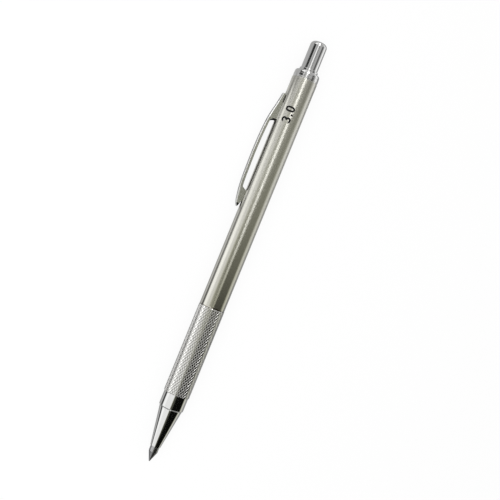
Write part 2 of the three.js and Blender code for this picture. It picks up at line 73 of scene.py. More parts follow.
CORNER_SHARE = 0.42  # the most that a rounded corner takes of a side
GUARD_SHARE = 1.15  # how far the guard points lie from a corner, over how far it is cut back
FINE = 3.0  # detail of the finer noises
INNER_CUT = 0.04  # how far plain inner corners are cut back, in mm
PLAIN_CUT = 0.06  # the same for plain tubes
Array = np.ndarray
Pair = tuple[float, float]
Triple = tuple[float, float, float]
Colour = Triple
Cuts = tuple[float, ...]
Cut = float | Cuts
Socket = bpy.types.NodeSocket


class Slot(Enum):
    """The record's material slots."""

    CHROME = "polished_chrome"
    KNURL = "knurled_chrome"
    BARREL = "satin_barrel"
    BRASS = "brass"
    STEEL = "spring_steel"
    RUBBER = "rubber"
    GRAPHITE = "graphite"


class Body(Enum):
    """The bodies that the pieces ride on."""

    BARREL = "barrel"
    FEED = "feed_tube"
    RING = "ring"
    LEAD = "lead"
    BUTTON = "button"
    RETAINER = "retainer"
    NOSE = "nose"
    CLIP = "clip"
    JAW_1 = "jaw_1"
    JAW_2 = "jaw_2"
    JAW_3 = "jaw_3"


# Places


def joint_named(name: str) -> dict[str, Any]:
    """Gives a joint of the record."""
    return next(joint for joint in FRAME["record"]["behaviour"]["joints"] if joint["name"] == name)


@dataclass(frozen=True)
class PencilAxis:
    """The pencil's own axis in the frame, in metres, and the direction of its clip.

    Args:
        tip: x of the lead's point.
        y: y of the axis.
        z: height of the axis.
        clip_y: y part of the unit direction from the axis to the clip.
        clip_z: z part of that direction.
    """

    tip: float
    y: float
    z: float
    clip_y: float
    clip_z: float

    @classmethod
    def from_frame(cls) -> "PencilAxis":
        """Reads the axis from the lead's box, and the clip's direction from its hinge.

        The hinge's axis is square to that direction.

        Returns:
            The pencil's axis.
        """
        low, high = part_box("lead")
        _, hinge_y, hinge_z = joint_named("clip_flex")["axis"]
        return cls(high[0], (low[1] + high[1]) / 2, (low[2] + high[2]) / 2, hinge_z, -hinge_y)

    def place(self, along: Array, out: Array, across: Array) -> Array:
        """Turns the pencil's own sizes into points of the frame.

        Args:
            along: distances back from the point, in mm.
            out: distances from the axis towards the clip, in mm.
            across: distances square to both, in mm.

        Returns:
            Points in metres, with x, y and z last.
        """
        along, out, across = np.broadcast_arrays(along, out, across)
        x = self.tip - along * MM
        y = self.y + (out * self.clip_y + across * self.clip_z) * MM
        z = self.z + (out * self.clip_z - across * self.clip_y) * MM
        return np.stack([x, y, z], axis=-1)

    def along(self, x: Array) -> Array:
        """Gives the distances back from the point, in mm, of x places of the frame."""
        return (self.tip - x) / MM

    def turn(self, along: Array, radius: Array, angle: Array) -> Array:
        """Turns a place along, a radius in mm and an angle from the clip into points."""
        return self.place(along, radius * np.cos(angle), radius * np.sin(angle))

    def direction(self, along: float, out: float, across: float) -> Vector:
        """Gives a direction of the frame from its parts along, out and across."""
        origin = self.place(0.0, 0.0, 0.0)
        return Vector((self.place(along, out, across) - origin) / MM)


AXIS = PencilAxis.from_frame()


def node_span(node: str) -> Pair:
    """Gives where a node starts and ends along the pencil, in mm back from the point."""
    low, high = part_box(node)
    return (AXIS.tip - high[0]) / MM, (AXIS.tip - low[0]) / MM


def node_radius(node: str) -> float:
    """Gives a turned node's outer radius in mm, half of its box's greater side."""
    low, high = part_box(node)
    return max(high[1] - low[1], high[2] - low[2]) / 2 / MM


# Surfaces


@dataclass
class Skin:
    """A closed surface: its points, and arrays of faces that list point numbers."""

    points: Array
    faces: list[Array] = field(default_factory=list)

    def __add__(self, other: "Skin") -> "Skin":
        """Puts two surfaces into one."""
        moved = [face + len(self.points) for face in other.faces]
        return Skin(np.concatenate([self.points, other.points]), self.faces + moved)


def grid_quads(rows: int, columns: int, wrap_rows: bool, wrap_columns: bool) -> Array:
    """Lists the quads of a grid of points, row by row.

    Quad (i, j) joins points (i, j), (i, j + 1), (i + 1, j + 1) and (i + 1, j). It faces away from
    the axis where rows go back along the pencil and columns go round it.

    Args:
        rows: rows of points.
        columns: points in a row.
        wrap_rows: whether the last row joins the first.
        wrap_columns: whether each row's last point joins its first.

    Returns:
        An array of quads with four point numbers each.
    """
    i, j = np.meshgrid(
        np.arange(rows if wrap_rows else rows - 1),
        np.arange(columns if wrap_columns else columns - 1),
        indexing="ij",
    )
    below, beside = (i + 1) % rows, (j + 1) % columns
    corners = [i * columns + j, i * columns + beside, below * columns + beside, below * columns + j]
    return np.stack([corner.ravel() for corner in corners], axis=-1)


def rounded(profile: Array, radius: Cut, closed: bool = False, steps: int = 5) -> Array:
    """Rounds the corners of a profile.

    A corner P turns into the curve (1 - s)^2 A + 2 s (1 - s) P + s^2 B, for s from 0 to 1, where A
    and B lie on the two sides at the corner's radius from P, or at most CORNER_SHARE of the side
    away. One guard point more on each side, just outside A and B, keeps the shading of the long
    sides flat.

    Args:
        profile: the corners, as rows of (along, radius).
        radius: how far each corner is cut back, in mm: one number, or one for each corner.
        closed: whether the last corner joins the first.
        steps: points on each curve.

    Returns:
        The rounded profile as rows of (along, radius).
    """
    corners = np.asarray(profile, dtype=float)
    before = np.roll(corners, 1, axis=0) - corners
    after = np.roll(corners, -1, axis=0) - corners
    length_before = np.linalg.norm(before, axis=1, keepdims=True)
    length_after = np.linalg.norm(after, axis=1, keepdims=True)
    cut = np.broadcast_to(np.asarray(radius, dtype=float), (len(corners),))[:, None]
    back = np.minimum(cut, CORNER_SHARE * length_before) / length_before
    on = np.minimum(cut, CORNER_SHARE * length_after) / length_after
    start, end = corners + before * back, corners + after * on
    s = np.linspace(0, 1, steps)[None, :, None]
    curve = (1 - s) ** 2 * start[:, None] + 2 * s * (1 - s) * corners[:, None] + s**2 * end[:, None]
    guard_before = (corners + before * back * GUARD_SHARE)[:, None]
    guard_after = (corners + after * on * GUARD_SHARE)[:, None]
    points = np.concatenate([guard_before, curve, guard_after], axis=1)
    if closed:
        return points.reshape(-1, 2)
    return np.concatenate([corners[:1], points[1:-1].reshape(-1, 2), corners[-1:]])


def ring_skin(profile: Array, relief: Array | None = None, segments: int = SEGMENTS) -> Skin:
    """Turns a closed profile about the axis.

    Args:
        profile: rows of (along, radius), going back along the pencil on the outer side.
        relief: what to add to the radius, with a row for each point of the profile and a column
            for each segment.
        segments: points round the axis.

    Returns:
        The closed surface.
    """
    angles = np.arange(segments) * 2 * np.pi / segments
    radius = profile[:, 1:] + (0 if relief is None else relief)
    points = AXIS.turn(profile[:, :1], radius * np.ones((1, segments)), angles[None, :])
    return Skin(points.reshape(-1, 3), [grid_quads(len(profile), segments, True, True)])


def bar_skin(profile: Array, segments: int = SEGMENTS) -> Skin:
    """Turns a profile that starts and ends on the axis, where it is closed by a fan of triangles.

    Args:
        profile: rows of (along, radius), from the front pole to the rear pole.
        segments: points round the axis.

    Returns:
        The closed surface.
    """
    body = profile[1:-1]
    angles = np.arange(segments) * 2 * np.pi / segments
    rings = AXIS.turn(body[:, :1], body[:, 1:] * np.ones((1, segments)), angles[None, :])
    poles = AXIS.turn(profile[[0, -1], 0], np.zeros(2), np.zeros(2))
    points = np.concatenate([rings.reshape(-1, 3), poles])
    here = np.arange(segments)
    beside = (here + 1) % segments
    last = (len(body) - 1) * segments
    front = np.stack([beside, here, np.full(segments, len(points) - 2)], axis=-1)
    rear = np.stack([last + here, last + beside, np.full(segments, len(points) - 1)], axis=-1)
    return Skin(points, [grid_quads(len(body), segments, False, True), front, rear])


def sheet_skin(top: Array, under: Array, quads: Array) -> Skin:
    """Closes a sheet between a top surface and a like surface under it.

    An edge that only one quad uses is on the sheet's rim, and gets a wall down to the under side.

    Args:
        top: a grid of points on the top surface.
        under: the point under each of them.
        quads: the faces of the top surface, facing out.

    Returns:
        The closed surface.
    """
    top, under = top.reshape(-1, 3), under.reshape(-1, 3)
    count = len(top)
    starts, ends = quads.ravel(), np.roll(quads, -1, axis=1).ravel()
    rim = ~np.isin(starts * count + ends, ends * count + starts)
    a, b = starts[rim], ends[rim]
    walls = np.stack([b, a, a + count, b + count], axis=-1)
    return Skin(np.concatenate([top, under]), [quads, quads[:, ::-1] + count, walls])


def add_object(name: str, data: Any) -> bpy.types.Object:
    """Makes an object of a mesh, a camera or a lamp, and puts it in the scene."""
    thing = bpy.data.objects.new(name, data)
    bpy.context.scene.collection.objects.link(thing)
    return thing


def make_object(name: str, skin: Skin) -> bpy.types.Object:
    """Makes a smooth mesh object, with sharp edges where faces meet steeply.

    Args:
        name: the piece's name.
        skin: its surface.

    Returns:
        The new object, at the origin.
    """
    loops = np.concatenate([faces.ravel() for faces in skin.faces])
    sizes = np.concatenate([np.full(len(faces), faces.shape[1]) for faces in skin.faces])
    mesh = bpy.data.meshes.new(name)
    mesh.vertices.add(len(skin.points))
    mesh.vertices.foreach_set("co", skin.points.astype(np.float32).ravel())
    mesh.loops.add(len(loops))
    mesh.loops.foreach_set("vertex_index", loops.astype(np.int32))
    mesh.polygons.add(len(sizes))
    mesh.polygons.foreach_set("loop_start", (np.cumsum(sizes) - sizes).astype(np.int32))
    mesh.update(calc_edges=True)
    mesh.polygons.foreach_set("use_smooth", np.ones(len(sizes), dtype=bool))
    mesh.set_sharp_from_angle(angle=SHARP_ANGLE)
    mesh.validate()
    return add_object(name, mesh)


def show(name: str, skin: Skin, finish: "Finish", body: Body, node: str | None) -> bpy.types.Object:
    """Makes a piece, dresses it, and gives it its body.

    Args:
        name: the piece's name.
        skin: its surface.
        finish: what it is dressed in.
        body: the body that it rides on.
        node: the construction node that it stands for, if any.

    Returns:
        The new piece.
    """
    piece = make_object(name, skin)
    piece.data.materials.append(finish.material())
    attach(piece, body.value)
    if node:
        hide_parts(node)
    LOG.info("%s: %d faces", name, len(piece.data.polygons))
    return piece


def turn_ring(
    name: str,
    node: str,
    corners: list[Pair],
    cut: Cut,
    finish: "Finish",
    body: Body,
    steps: int = 5,
) -> None:
    """Turns a ring with rounded corners in a node's place.

    Args:
        name: the piece's name.
        node: the node that it stands for.
        corners: the corners of its section, as (along, radius) in mm.
        cut: how far the corners are cut back.
        finish: what it is dressed in.
        body: the body that it rides on.
        steps: points on each corner's curve.
    """
    skin = ring_skin(rounded(corners, cut, True, steps))
    show(name, skin, finish, body, node)


def plain_tube(
    name: str,
    node: str,
    bore: float,
    finish: "Finish",
    body: Body,
    cut: Cut = PLAIN_CUT,
    steps: int = 5,
) -> None:
    """Turns a plain tube with the length and the outer radius of a node, and a bore in mm.

    Args:
        name: the piece's name.
        node: the node that it stands for.
        bore: radius of its bore.
        finish: what it is dressed in.
        body: the body that it rides on.
        cut: how far its corners are cut back.
        steps: points on each corner's curve.
    """
    front, rear = node_span(node)
    outer = node_radius(node)
    corners = [(front, bore), (front, outer), (rear, outer), (rear, bore)]
    turn_ring(name, node, corners, cut, finish, body, steps)


# Shader maths


class Value:
    """A number socket of a shader that takes part in arithmetic."""

    def __init__(self, maker: "NodeMaker", socket: Socket) -> None:
        """Wraps a socket of a node that the maker made."""
        self.maker = maker
        self.socket = socket

    def _math(self, operation: str, *terms: Any) -> "Value":
        """Adds a Math node over some terms."""
        node = self.maker.node("ShaderNodeMath", {"operation": operation}, dict(enumerate(terms)))
        return Value(self.maker, node.outputs[0])

    def __add__(self, other: Any) -> "Value":
        """Adds."""
        return self._math("ADD", self, other)

    def __sub__(self, other: Any) -> "Value":
        """Subtracts."""
        return self._math("SUBTRACT", self, other)

    def __rsub__(self, other: Any) -> "Value":
        """Subtracts from a number."""
        return self._math("SUBTRACT", other, self)

    def __mul__(self, other: Any) -> "Value":
        """Multiplies."""
        return self._math("MULTIPLY", self, other)

    def __truediv__(self, other: Any) -> "Value":
        """Divides."""
        return self._math("DIVIDE", self, other)

    def __pow__(self, other: Any) -> "Value":
        """Raises to a power."""
        return self._math("POWER", self, other)

    __radd__ = __add__
    __rmul__ = __mul__

    def angle_to(self, other: "Value") -> "Value":
        """Gives the angle whose tangent is this value over the other, in radians."""
        return self._math("ARCTAN2", self, other)

    def larger(self, other: Any) -> "Value":
        """Gives the larger of two values."""
        return self._math("MAXIMUM", self, other)

    def step(self, low: float, high: float) -> "Value":
        """Rises smoothly from 0 to 1 as the value goes from low to high."""
        node = self.maker.node(
            "ShaderNodeMapRange",
            {"interpolation_type": "SMOOTHSTEP"},
            {"Value": self, "From Min": low, "From Max": high, "To Min": 0.0, "To Max": 1.0},
        )
        return Value(self.maker, node.outputs["Result"])

    def between(self, low: float, high: float, soft: float) -> "Value":
        """Is 1 between two limits and 0 outside them, with soft edges of the given width."""
        rise = self.step(low - soft / 2, low + soft / 2)
        return rise * (1 - self.step(high - soft / 2, high + soft / 2))


class NodeMaker:
    """Makes the nodes of one node tree."""

    def __init__(self, owner: bpy.types.Material | bpy.types.World) -> None:
        """Empties the owner's tree, to start from nothing."""
        owner.use_nodes = True
        self.tree = owner.node_tree
        self.tree.nodes.clear()

    def node(self, kind: str, settings: dict | None = None, inputs: dict | None = None) -> Any:
        """Makes a node, sets its settings, and then fills its inputs.

        Args:
            kind: the node's type.
            settings: its properties.
            inputs: what goes into its sockets, by name or number: a value, a Value or a socket.

        Returns:
            The node.
        """
        node = self.tree.nodes.new(kind)
        for name, setting in (settings or {}).items():
            setattr(node, name, setting)
        for name, source in (inputs or {}).items():
            source = source.socket if isinstance(source, Value) else source
            if isinstance(source, Socket):
                self.tree.links.new(source, node.inputs[name])
            else:
                node.inputs[name].default_value = source
        return node

    def coordinates(self, kind: str = "Object") -> tuple[Socket, Value, Value, Value]:
        """Gives coordinates of one kind, whole and as x, y and z."""
        place = self.node("ShaderNodeTexCoord").outputs[kind]
        parts = self.node("ShaderNodeSeparateXYZ", None, {0: place}).outputs
        return place, Value(self, parts[0]), Value(self, parts[1]), Value(self, parts[2])

    def noise(self, place: Any, grain: Triple, detail: float = 2.0) -> Value:
        """Gives noise from 0 to 1, with as many grains to the metre as said for x, y and z."""
        stretch = self.node("ShaderNodeVectorMath", {"operation": "MULTIPLY"}, {0: place, 1: grain})
        texture = self.node(
            "ShaderNodeTexNoise",
            {"noise_dimensions": "3D"},
            {"Vector": stretch.outputs[0], "Scale": 1.0, "Detail": detail},
        )
        return Value(self, texture.outputs[0])

    def mix(self, factor: Any, first: Any, second: Any) -> Socket:
        """Mixes two colours."""
        node = self.node("ShaderNodeMix", {"data_type": "RGBA"}, {"Factor": factor})
        for socket, source in zip([s for s in node.inputs if s.type == "RGBA"], (first, second)):
            if isinstance(source, Socket):
                self.tree.links.new(source, socket)
            else:
                socket.default_value = (*source, 1.0)
        return next(s for s in node.outputs if s.type == "RGBA")

    def blend(self, factor: Any, first: Any, second: Any) -> Socket:
        """Goes from one shader to another as the factor goes from 0 to 1."""
        return self.node("ShaderNodeMixShader", None, {0: factor, 1: first, 2: second}).outputs[0]

    def shine(self, kind: str, colour: Any, strength: Any = 1.0) -> Socket:
        """Makes a shader that gives light: Background for a world, Emission for a surface."""
        inputs = {"Color": colour, "Strength": strength}
        return self.node(f"ShaderNode{kind}", None, inputs).outputs[0]

    def bump(self, height: Value, depth: float, strength: float = 1.0) -> Socket:
        """Gives the normal of a surface whose height goes up to depth, in metres."""
        inputs = {"Strength": strength, "Distance": depth, "Height": height}
        return self.node("ShaderNodeBump", None, inputs).outputs[0]


def scaled(colour: Colour, factor: float) -> Colour:
    """Gives a colour that is that many times as bright."""
    return tuple(factor * part for part in colour)


@dataclass(frozen=True)
class Finish:
    """A surface finish, whose look is worked out by its own method.

    Args:
        name: the material's name.
        slot: the record's slot that it belongs to; not used.
        colour: its base colour.
        roughness: its mean roughness.
        metallic: 1 for metal.
    """

    name: str
    slot: Slot
    colour: Colour
    roughness: float
    metallic: float = 1.0

    def material(self) -> bpy.types.Material:
        """Makes the material, or gives the one that is there already.

        Returns:
            The material.
        """
        found = bpy.data.materials.get(self.name)
        if found:
            return found
        material = bpy.data.materials.new(self.name)
        maker = NodeMaker(material)
        inputs = {"Metallic": self.metallic, **self.surface(maker)}
        shader = maker.node("ShaderNodeBsdfPrincipled", None, inputs)
        maker.node("ShaderNodeOutputMaterial", None, {0: shader.outputs[0]})
        return material

    def surface(self, maker: NodeMaker) -> dict[str, Any]:
        """Gives what goes into the shader's sockets: here the plain colour and roughness."""
        return {"Base Color": (*self.colour, 1.0), "Roughness": self.roughness}


@dataclass(frozen=True)
class TurnedMetal(Finish):
    """Metal with fine lines round it from turning, and faint smudges.

    Args:
        lines: turned lines in a metre.
        line_breaks: how often a line changes round the axis, in a metre.
        line_depth: depth of the lines, in metres.
        line_rough: how much the roughness changes from line to line.
        smudge: how much the smudges add to the roughness.
        smudge_grain: smudges in a metre.
        smudge_edge: noise levels at which a smudge starts and is full.
        smudge_shade: brightness of a smudge.
        smudge_cover: how much of that shade a full smudge takes on.
    """

    lines: float = 9000.0
    line_breaks: float = 150.0
    line_depth: float = 2e-7
    line_rough: float = 0.04
    smudge: float = 0.04
    smudge_grain: Triple = (160.0, 260.0, 260.0)
    smudge_edge: Pair = (0.45, 0.75)
    smudge_shade: float = 0.93
    smudge_cover: float = 0.5

    def surface(self, maker: NodeMaker) -> dict[str, Any]:
        """Gives lines that change fast along the axis and slowly round it, and soft smudges."""
        place, _, _, _ = maker.coordinates()
        line = maker.noise(place, (self.lines, self.line_breaks, self.line_breaks))
        smudges = maker.noise(place, self.smudge_grain, FINE).step(*self.smudge_edge)
        darker = scaled(self.colour, self.smudge_shade)
        smoothest = self.roughness - self.line_rough / 2
        return {
            "Base Color": maker.mix(smudges * self.smudge_cover, self.colour, darker),
            "Roughness": line * self.line_rough + smudges * self.smudge + smoothest,
            "Normal": maker.bump(line, self.line_depth),
        }


@dataclass(frozen=True)
class SatinBarrel(Finish):
    """A satin barrel: streaks along its length, more polished towards the grip.

    Args:
        polished: roughness beside the grip.
        polish_end: where the polished stretch has faded out, in mm from the point.
        tint: colour of the duller streaks and clouds.
        tint_share: how much of that colour each of the two brings in.
        streak_grain: streaks in a metre, along the axis and across it.
        cloud_grain: the same for the clouds.
        streak_rough: how much the roughness changes from streak to streak.
        cloud_rough: how much it changes from cloud to cloud.
        streak_depth: depth of the streaks, in metres.
        streak_bump: strength of their relief.
    """

    polished: float = 0.13
    polish_end: float = 100.0
    tint: Colour = (0.6, 0.59, 0.53)
    tint_share: float = 0.35
    streak_grain: Triple = (60.0, 5200.0, 5200.0)
    cloud_grain: Triple = (110.0, 420.0, 420.0)
    streak_rough: float = 0.1
    cloud_rough: float = 0.06
    streak_depth: float = 6e-7
    streak_bump: float = 0.6

    def surface(self, maker: NodeMaker) -> dict[str, Any]:
        """Gives fine streaks that run along the axis, over a slow change of roughness."""
        place, x, _, _ = maker.coordinates()
        front, _ = node_span("barrel_tube")
        dull = 1 - x.step(AXIS.tip - self.polish_end * MM, AXIS.tip - front * MM)
        streak = maker.noise(place, self.streak_grain, FINE)
        cloud = maker.noise(place, self.cloud_grain)
        share = streak * self.tint_share + cloud * self.tint_share
        rough = dull * (self.roughness - self.polished) + self.polished
        uneven = (streak - 0.5) * self.streak_rough + (cloud - 0.5) * self.cloud_rough
        return {
            "Base Color": maker.mix(share, self.colour, self.tint),
            "Roughness": rough + uneven,
            "Normal": maker.bump(streak, self.streak_depth, self.streak_bump),
        }


@dataclass(frozen=True)
class KnurledMetal(Finish):
    """Knurled metal, duller down in its grooves, and darker there with painted shade.

    Args:
        groove_radius: distance of the groove bottoms from the axis, in mm.
        crest_radius: distance of the crests from the axis, in mm.
        groove_shade_colour: colour of the groove bottoms, darkened as painted shade.
        groove_rough: how much rougher they are.
        clean: share of the depth at which the colour has become that of the crests.
        grain: grains in a metre.
        grain_rough: how much the roughness changes from grain to grain.
        grain_depth: depth of the grain, in metres.
        bump: strength of its relief.
    """

    groove_radius: float = 4.0
    crest_radius: float = 4.3
    groove_shade_colour: Colour = (0.4, 0.39, 0.37)
    groove_rough: float = 0.25
    clean: float = 0.8
    grain: Triple = (4000.0, 4000.0, 4000.0)
    grain_rough: float = 0.08
    grain_depth: float = 6e-7
    bump: float = 0.5

    def surface(self, maker: NodeMaker) -> dict[str, Any]:
        """Gives a mix by the distance from the axis, the root of (y - y0)^2 + (z - z0)^2, that
        paints shade down in the grooves.
        """
        place, _, y, z = maker.coordinates()
        radius = ((y - AXIS.y) ** 2 + (z - AXIS.z) ** 2) ** 0.5
        low, high = self.groove_radius * MM, self.crest_radius * MM
        height = radius.step(low, low + (high - low) * self.clean)
        grain = maker.noise(place, self.grain)
        uneven = (1 - height) * self.groove_rough + grain * self.grain_rough
        return {
            # the groove colour is painted shade in the knurl's hollows, deepest at the groove
            # bottoms
            "Base Color": maker.mix(height, self.groove_shade_colour, self.colour),
            "Roughness": uneven + (self.roughness - self.grain_rough / 2),
            "Normal": maker.bump(grain, self.grain_depth, self.bump),
        }


@dataclass(frozen=True)
class Graphite(Finish):
    """A drawn black lead, smooth on its side and scored where it was sharpened.

    Args:
        sharpened: length of the sharpened cone, in mm.
        edge: half width of the line where the cone's look ends.
        cone_colour: the sharpened cone's colour.
        score_lift: brightness of the brightest scores, over the cone's colour.
        score_grain: scored lines in a metre.
        grain: grains in a metre.
        rough: how much the cone, and the grain, add to the roughness.
        depth: depth of the scores, in metres.
        grain_share: share of that depth that the grain has.
        bump: strength of the relief.
        contrast: how strongly the scores lift the colour.
    """

    sharpened: float = 3.4
    edge: float = 0.1
    cone_colour: Colour = (0.25, 0.25, 0.255)
    score_lift: float = 1.3
    score_grain: Triple = (9000.0, 500.0, 500.0)
    grain: Triple = (5000.0, 5000.0, 5000.0)
    rough: float = 0.12
    depth: float = 6e-6
    grain_share: float = 0.2
    bump: float = 0.7
    contrast: float = 2.0

    def surface(self, maker: NodeMaker) -> dict[str, Any]:
        """Gives scored lines round the cone, in front of the smooth black side."""
        place, x, _, _ = maker.coordinates()
        edge = AXIS.tip - self.sharpened * MM
        cone = x.step(edge - self.edge * MM, edge + self.edge * MM)
        score = maker.noise(place, self.score_grain, FINE)
        grain = maker.noise(place, self.grain, FINE)
        lifted = scaled(self.cone_colour, self.score_lift)
        scored = maker.mix(score * grain * self.contrast, self.cone_colour, lifted)
        height = score * cone + grain * self.grain_share
        return {
            "Base Color": maker.mix(cone, self.colour, scored),
            "Roughness": cone * self.rough + grain * self.rough + self.roughness,
            "Normal": maker.bump(height, self.depth, self.bump),
        }


@dataclass(frozen=True)
class Grainy(Finish):
    """Moulded rubber or printed ink, with a fine grain.

    Args:
        grain: grains in a metre.
        detail: detail of the grain.
        lift: brightness of the brightest grains, over the colour.
        grain_rough: how much the grain adds to the roughness.
        depth: depth of the grain in metres, or 0 for none.
        bump: strength of its relief.
        gloss: level of the shader's reflection.
    """

    grain: Triple = (6000.0, 6000.0, 6000.0)
    detail: float = FINE
    lift: float = 1.8
    grain_rough: float = 0.15
    depth: float = 8e-6
    bump: float = 0.5
    gloss: float = 0.5

    def surface(self, maker: NodeMaker) -> dict[str, Any]:
        """Gives a grain that changes the colour, the roughness and the height."""
        place, _, _, _ = maker.coordinates()
        grain = maker.noise(place, self.grain, self.detail)
        looks = {
            "Base Color": maker.mix(grain, self.colour, scaled(self.colour, self.lift)),
            "Roughness": grain * self.grain_rough + self.roughness,
            "Specular IOR Level": self.gloss,
        }
        if self.depth:
            looks["Normal"] = maker.bump(grain, self.depth, self.bump)
        return looks


CHROME = TurnedMetal("polished chrome", Slot.CHROME, (0.86, 0.86, 0.85), 0.06)
PRESSED = TurnedMetal("pressed chrome", Slot.CHROME, (0.8, 0.8, 0.79), 0.16, lines=2500.0)
# dark chrome for the clip's inner faces: its dark colour is painted shade inside the channel
DULL_SHADE = TurnedMetal("dull chrome", Slot.CHROME, (0.22, 0.22, 0.215), 0.4, lines=2500.0)
# near-black chrome: painted deep shade inside the clip's foot and head
SHADED = TurnedMetal("unplated inside", Slot.CHROME, (0.035, 0.034, 0.032), 0.5, lines=2500.0)
BAND_CHROME = TurnedMetal("band chrome", Slot.KNURL, (0.86, 0.86, 0.85), 0.05)
SATIN = SatinBarrel("satin barrel", Slot.BARREL, (0.79, 0.78, 0.72), 0.27)
BRASS = TurnedMetal("turned brass", Slot.BRASS, (0.83, 0.64, 0.29), 0.24, line_depth=1e-6)
STEEL = TurnedMetal("drawn steel", Slot.STEEL, (0.62, 0.62, 0.62), 0.28, line_depth=6e-7)
RUBBER = Grainy("moulded rubber", Slot.RUBBER, (0.025, 0.025, 0.028), 0.65, 0.0)
GRAPHITE = Graphite("drawing lead", Slot.GRAPHITE, (0.5, 0.5, 0.505), 0.17, 1.0)
INK = Grainy(
    "printed ink", Slot.BARREL, (0.006, 0.006, 0.0065), 0.45, 0.0,
    grain=(3000.0, 3000.0, 3000.0), detail=2.0, lift=2.0, grain_rough=0.2, depth=0.0, gloss=0.1,
)


# Front of the pencil


@dataclass
class Lead:
    """The drawing lead.

    Args:
        sharpened: length of the sharpened cone, in mm.
        tip_radius: radius of the worn point.
        cuts: how far each corner is cut back.
    """

    sharpened: float = 3.4
    tip_radius: float = 0.15
    cuts: Cuts = (0, 0.12, 0.1, 0.08, 0)

    def build(self) -> None:
        """Turns a rod with a cone in front, whose point and whose edge are worn round."""
        front, rear = node_span("lead")
        radius = node_radius("lead")
        corners = [
            (front, 0), (front, self.tip_radius), (front + self.sharpened, radius), (rear, radius),
            (rear, 0),
        ]
        profile = rounded(corners, self.cuts)
        show("drawing_lead", bar_skin(profile), GRAPHITE, Body.LEAD, "lead")


@dataclass
class Nose:
    """The nose cone with its threaded spigot, and the rubber ring in it.

    Args:
        cone_length: length of the outer cone, in mm.
        mouth_radius: outer radius of the mouth.
        mouth_bore: radius of the bore in the mouth.
        cone_radius: radius of the cone's rear edge.
        spigot_bore: radius of the bore at the rear.
        chamber_radius: radius of the chamber in front of that bore.
        wall: thickness of the cone beside its chamber.
        ring_front: from the mouth to the seat of the rubber ring.
        ring_length: length of that seat.
        ring_seat: radius of that seat.
        shoulder: from the cone's rear edge to the stop in front of the wider bore.
        step: the least by which the spigot is thinner than the cone's rear edge.
        pitch: pitch of the thread.
        thread_depth: depth of the thread.
        thread_points: rows of points in a pitch.
        thread_span: where the thread starts behind the cone, and ends before the spigot's end.
        relief: length of the plain groove between the cone and the thread.
        lead_in: length of the bevel at the spigot's end.
        lip: how far a bevel at the seat or at the ring's lip rises.
        lip_radius: radius of the rubber ring's lip, which holds the lead.
        mouth_cuts: how far the corners at the mouth and the cone are cut back.
        ring_cuts: the same for the rubber ring.
    """

    cone_length: float = 13.1
    mouth_radius: float = 1.72
    mouth_bore: float = 1.58
    cone_radius: float = 3.79
    spigot_bore: float = 2.99
    chamber_radius: float = 2.84
    wall: float = 0.42
    ring_front: float = 4.3
    ring_length: float = 2.2
    ring_seat: float = 2.08
    shoulder: float = -0.4
    step: float = 0.3
    pitch: float = 0.5
    thread_depth: float = 0.22
    thread_points: int = 8
    thread_span: Pair = (0.6, 0.3)
    relief: float = 0.5
    lead_in: float = 0.2
    lip: float = 0.1
    lip_radius: float = 1.56
    mouth_cuts: Cuts = (0.05, 0.05, 0.05, 0.12, 0.03, 0.03)
    ring_cuts: Cuts = (0.1, 0.15, 0.15, 0.1, 0.5)

    def cone_at(self, along: float) -> float:
        """Gives the outer cone's radius at a distance behind its mouth."""
        share = along / self.cone_length
        return self.mouth_radius + (self.cone_radius - self.mouth_radius) * share

    def profile(self) -> tuple[Array, Array]:
        """Works out the outline, with many points along the spigot for its thread.

        Returns:
            The outline as rows of (along, radius), and for each row how much of the thread's
            depth it takes.
        """
        mouth, rear = node_span("nose_cone")
        spigot = min(node_radius("nose_cone"), self.cone_radius - self.step)
        edge = mouth + self.cone_length
        seat_front = mouth + self.ring_front
        seat_rear = seat_front + self.ring_length
        rise = (self.chamber_radius + self.wall - self.mouth_radius) * self.cone_length
        straight = mouth + rise / (self.cone_radius - self.mouth_radius)
        corners = [
            (seat_front, self.mouth_bore), (mouth, self.mouth_bore), (mouth, self.mouth_radius),
            (edge, self.cone_radius), (edge, spigot - self.thread_depth),
            (edge + self.relief, spigot - self.thread_depth),
        ]
        front = rounded(corners, self.mouth_cuts)
        start, end = edge + self.thread_span[0], rear - self.thread_span[1]
        count = round((end - start) / self.pitch * self.thread_points)
        along = np.linspace(start, end, count)
        thread = np.stack([along, np.full(count, spigot)], axis=-1)
        corners = [
            (rear - self.lead_in, spigot - self.lip), (rear, spigot - self.thread_depth),
            (rear, self.spigot_bore), (edge + self.shoulder, self.spigot_bore),
            (edge + self.shoulder, self.chamber_radius), (straight, self.chamber_radius),
            (seat_rear, self.cone_at(self.ring_front + self.ring_length) - self.wall),
            (seat_rear, self.ring_seat), (seat_front, self.ring_seat),
            (seat_front, self.mouth_bore + self.lip),
        ]
        back = rounded(corners, INNER_CUT)
        weight = np.concatenate([np.zeros(len(front)), np.ones(count), np.zeros(len(back))])
        return np.concatenate([front, thread, back]), weight

    def build(self) -> None:
        """Builds the cone and the rubber ring.

        The thread's depth follows a triangular wave of along / pitch less the share of a turn.
        """
        profile, weight = self.profile()
        turn = np.arange(SEGMENTS) / SEGMENTS
        phase = (profile[:, :1] / self.pitch - turn[None, :]) % 1
        groove = 1 - np.abs(2 * phase - 1)
        relief = -self.thread_depth * weight[:, None] * groove
        skin = ring_skin(profile, relief)
        show("turned_nose_cone", skin, CHROME, Body.NOSE, "nose_cone")

        node = "lead_retainer"
        front, rear = node_span(node)
        outer, edge = node_radius(node), self.lip_radius + self.lip
        corners = [(front, edge), (front, outer), (rear, outer), (rear, edge)]
        corners += [((front + rear) / 2, self.lip_radius)]
        turn_ring("rubber_ring", node, corners, self.ring_cuts, RUBBER, Body.RETAINER)


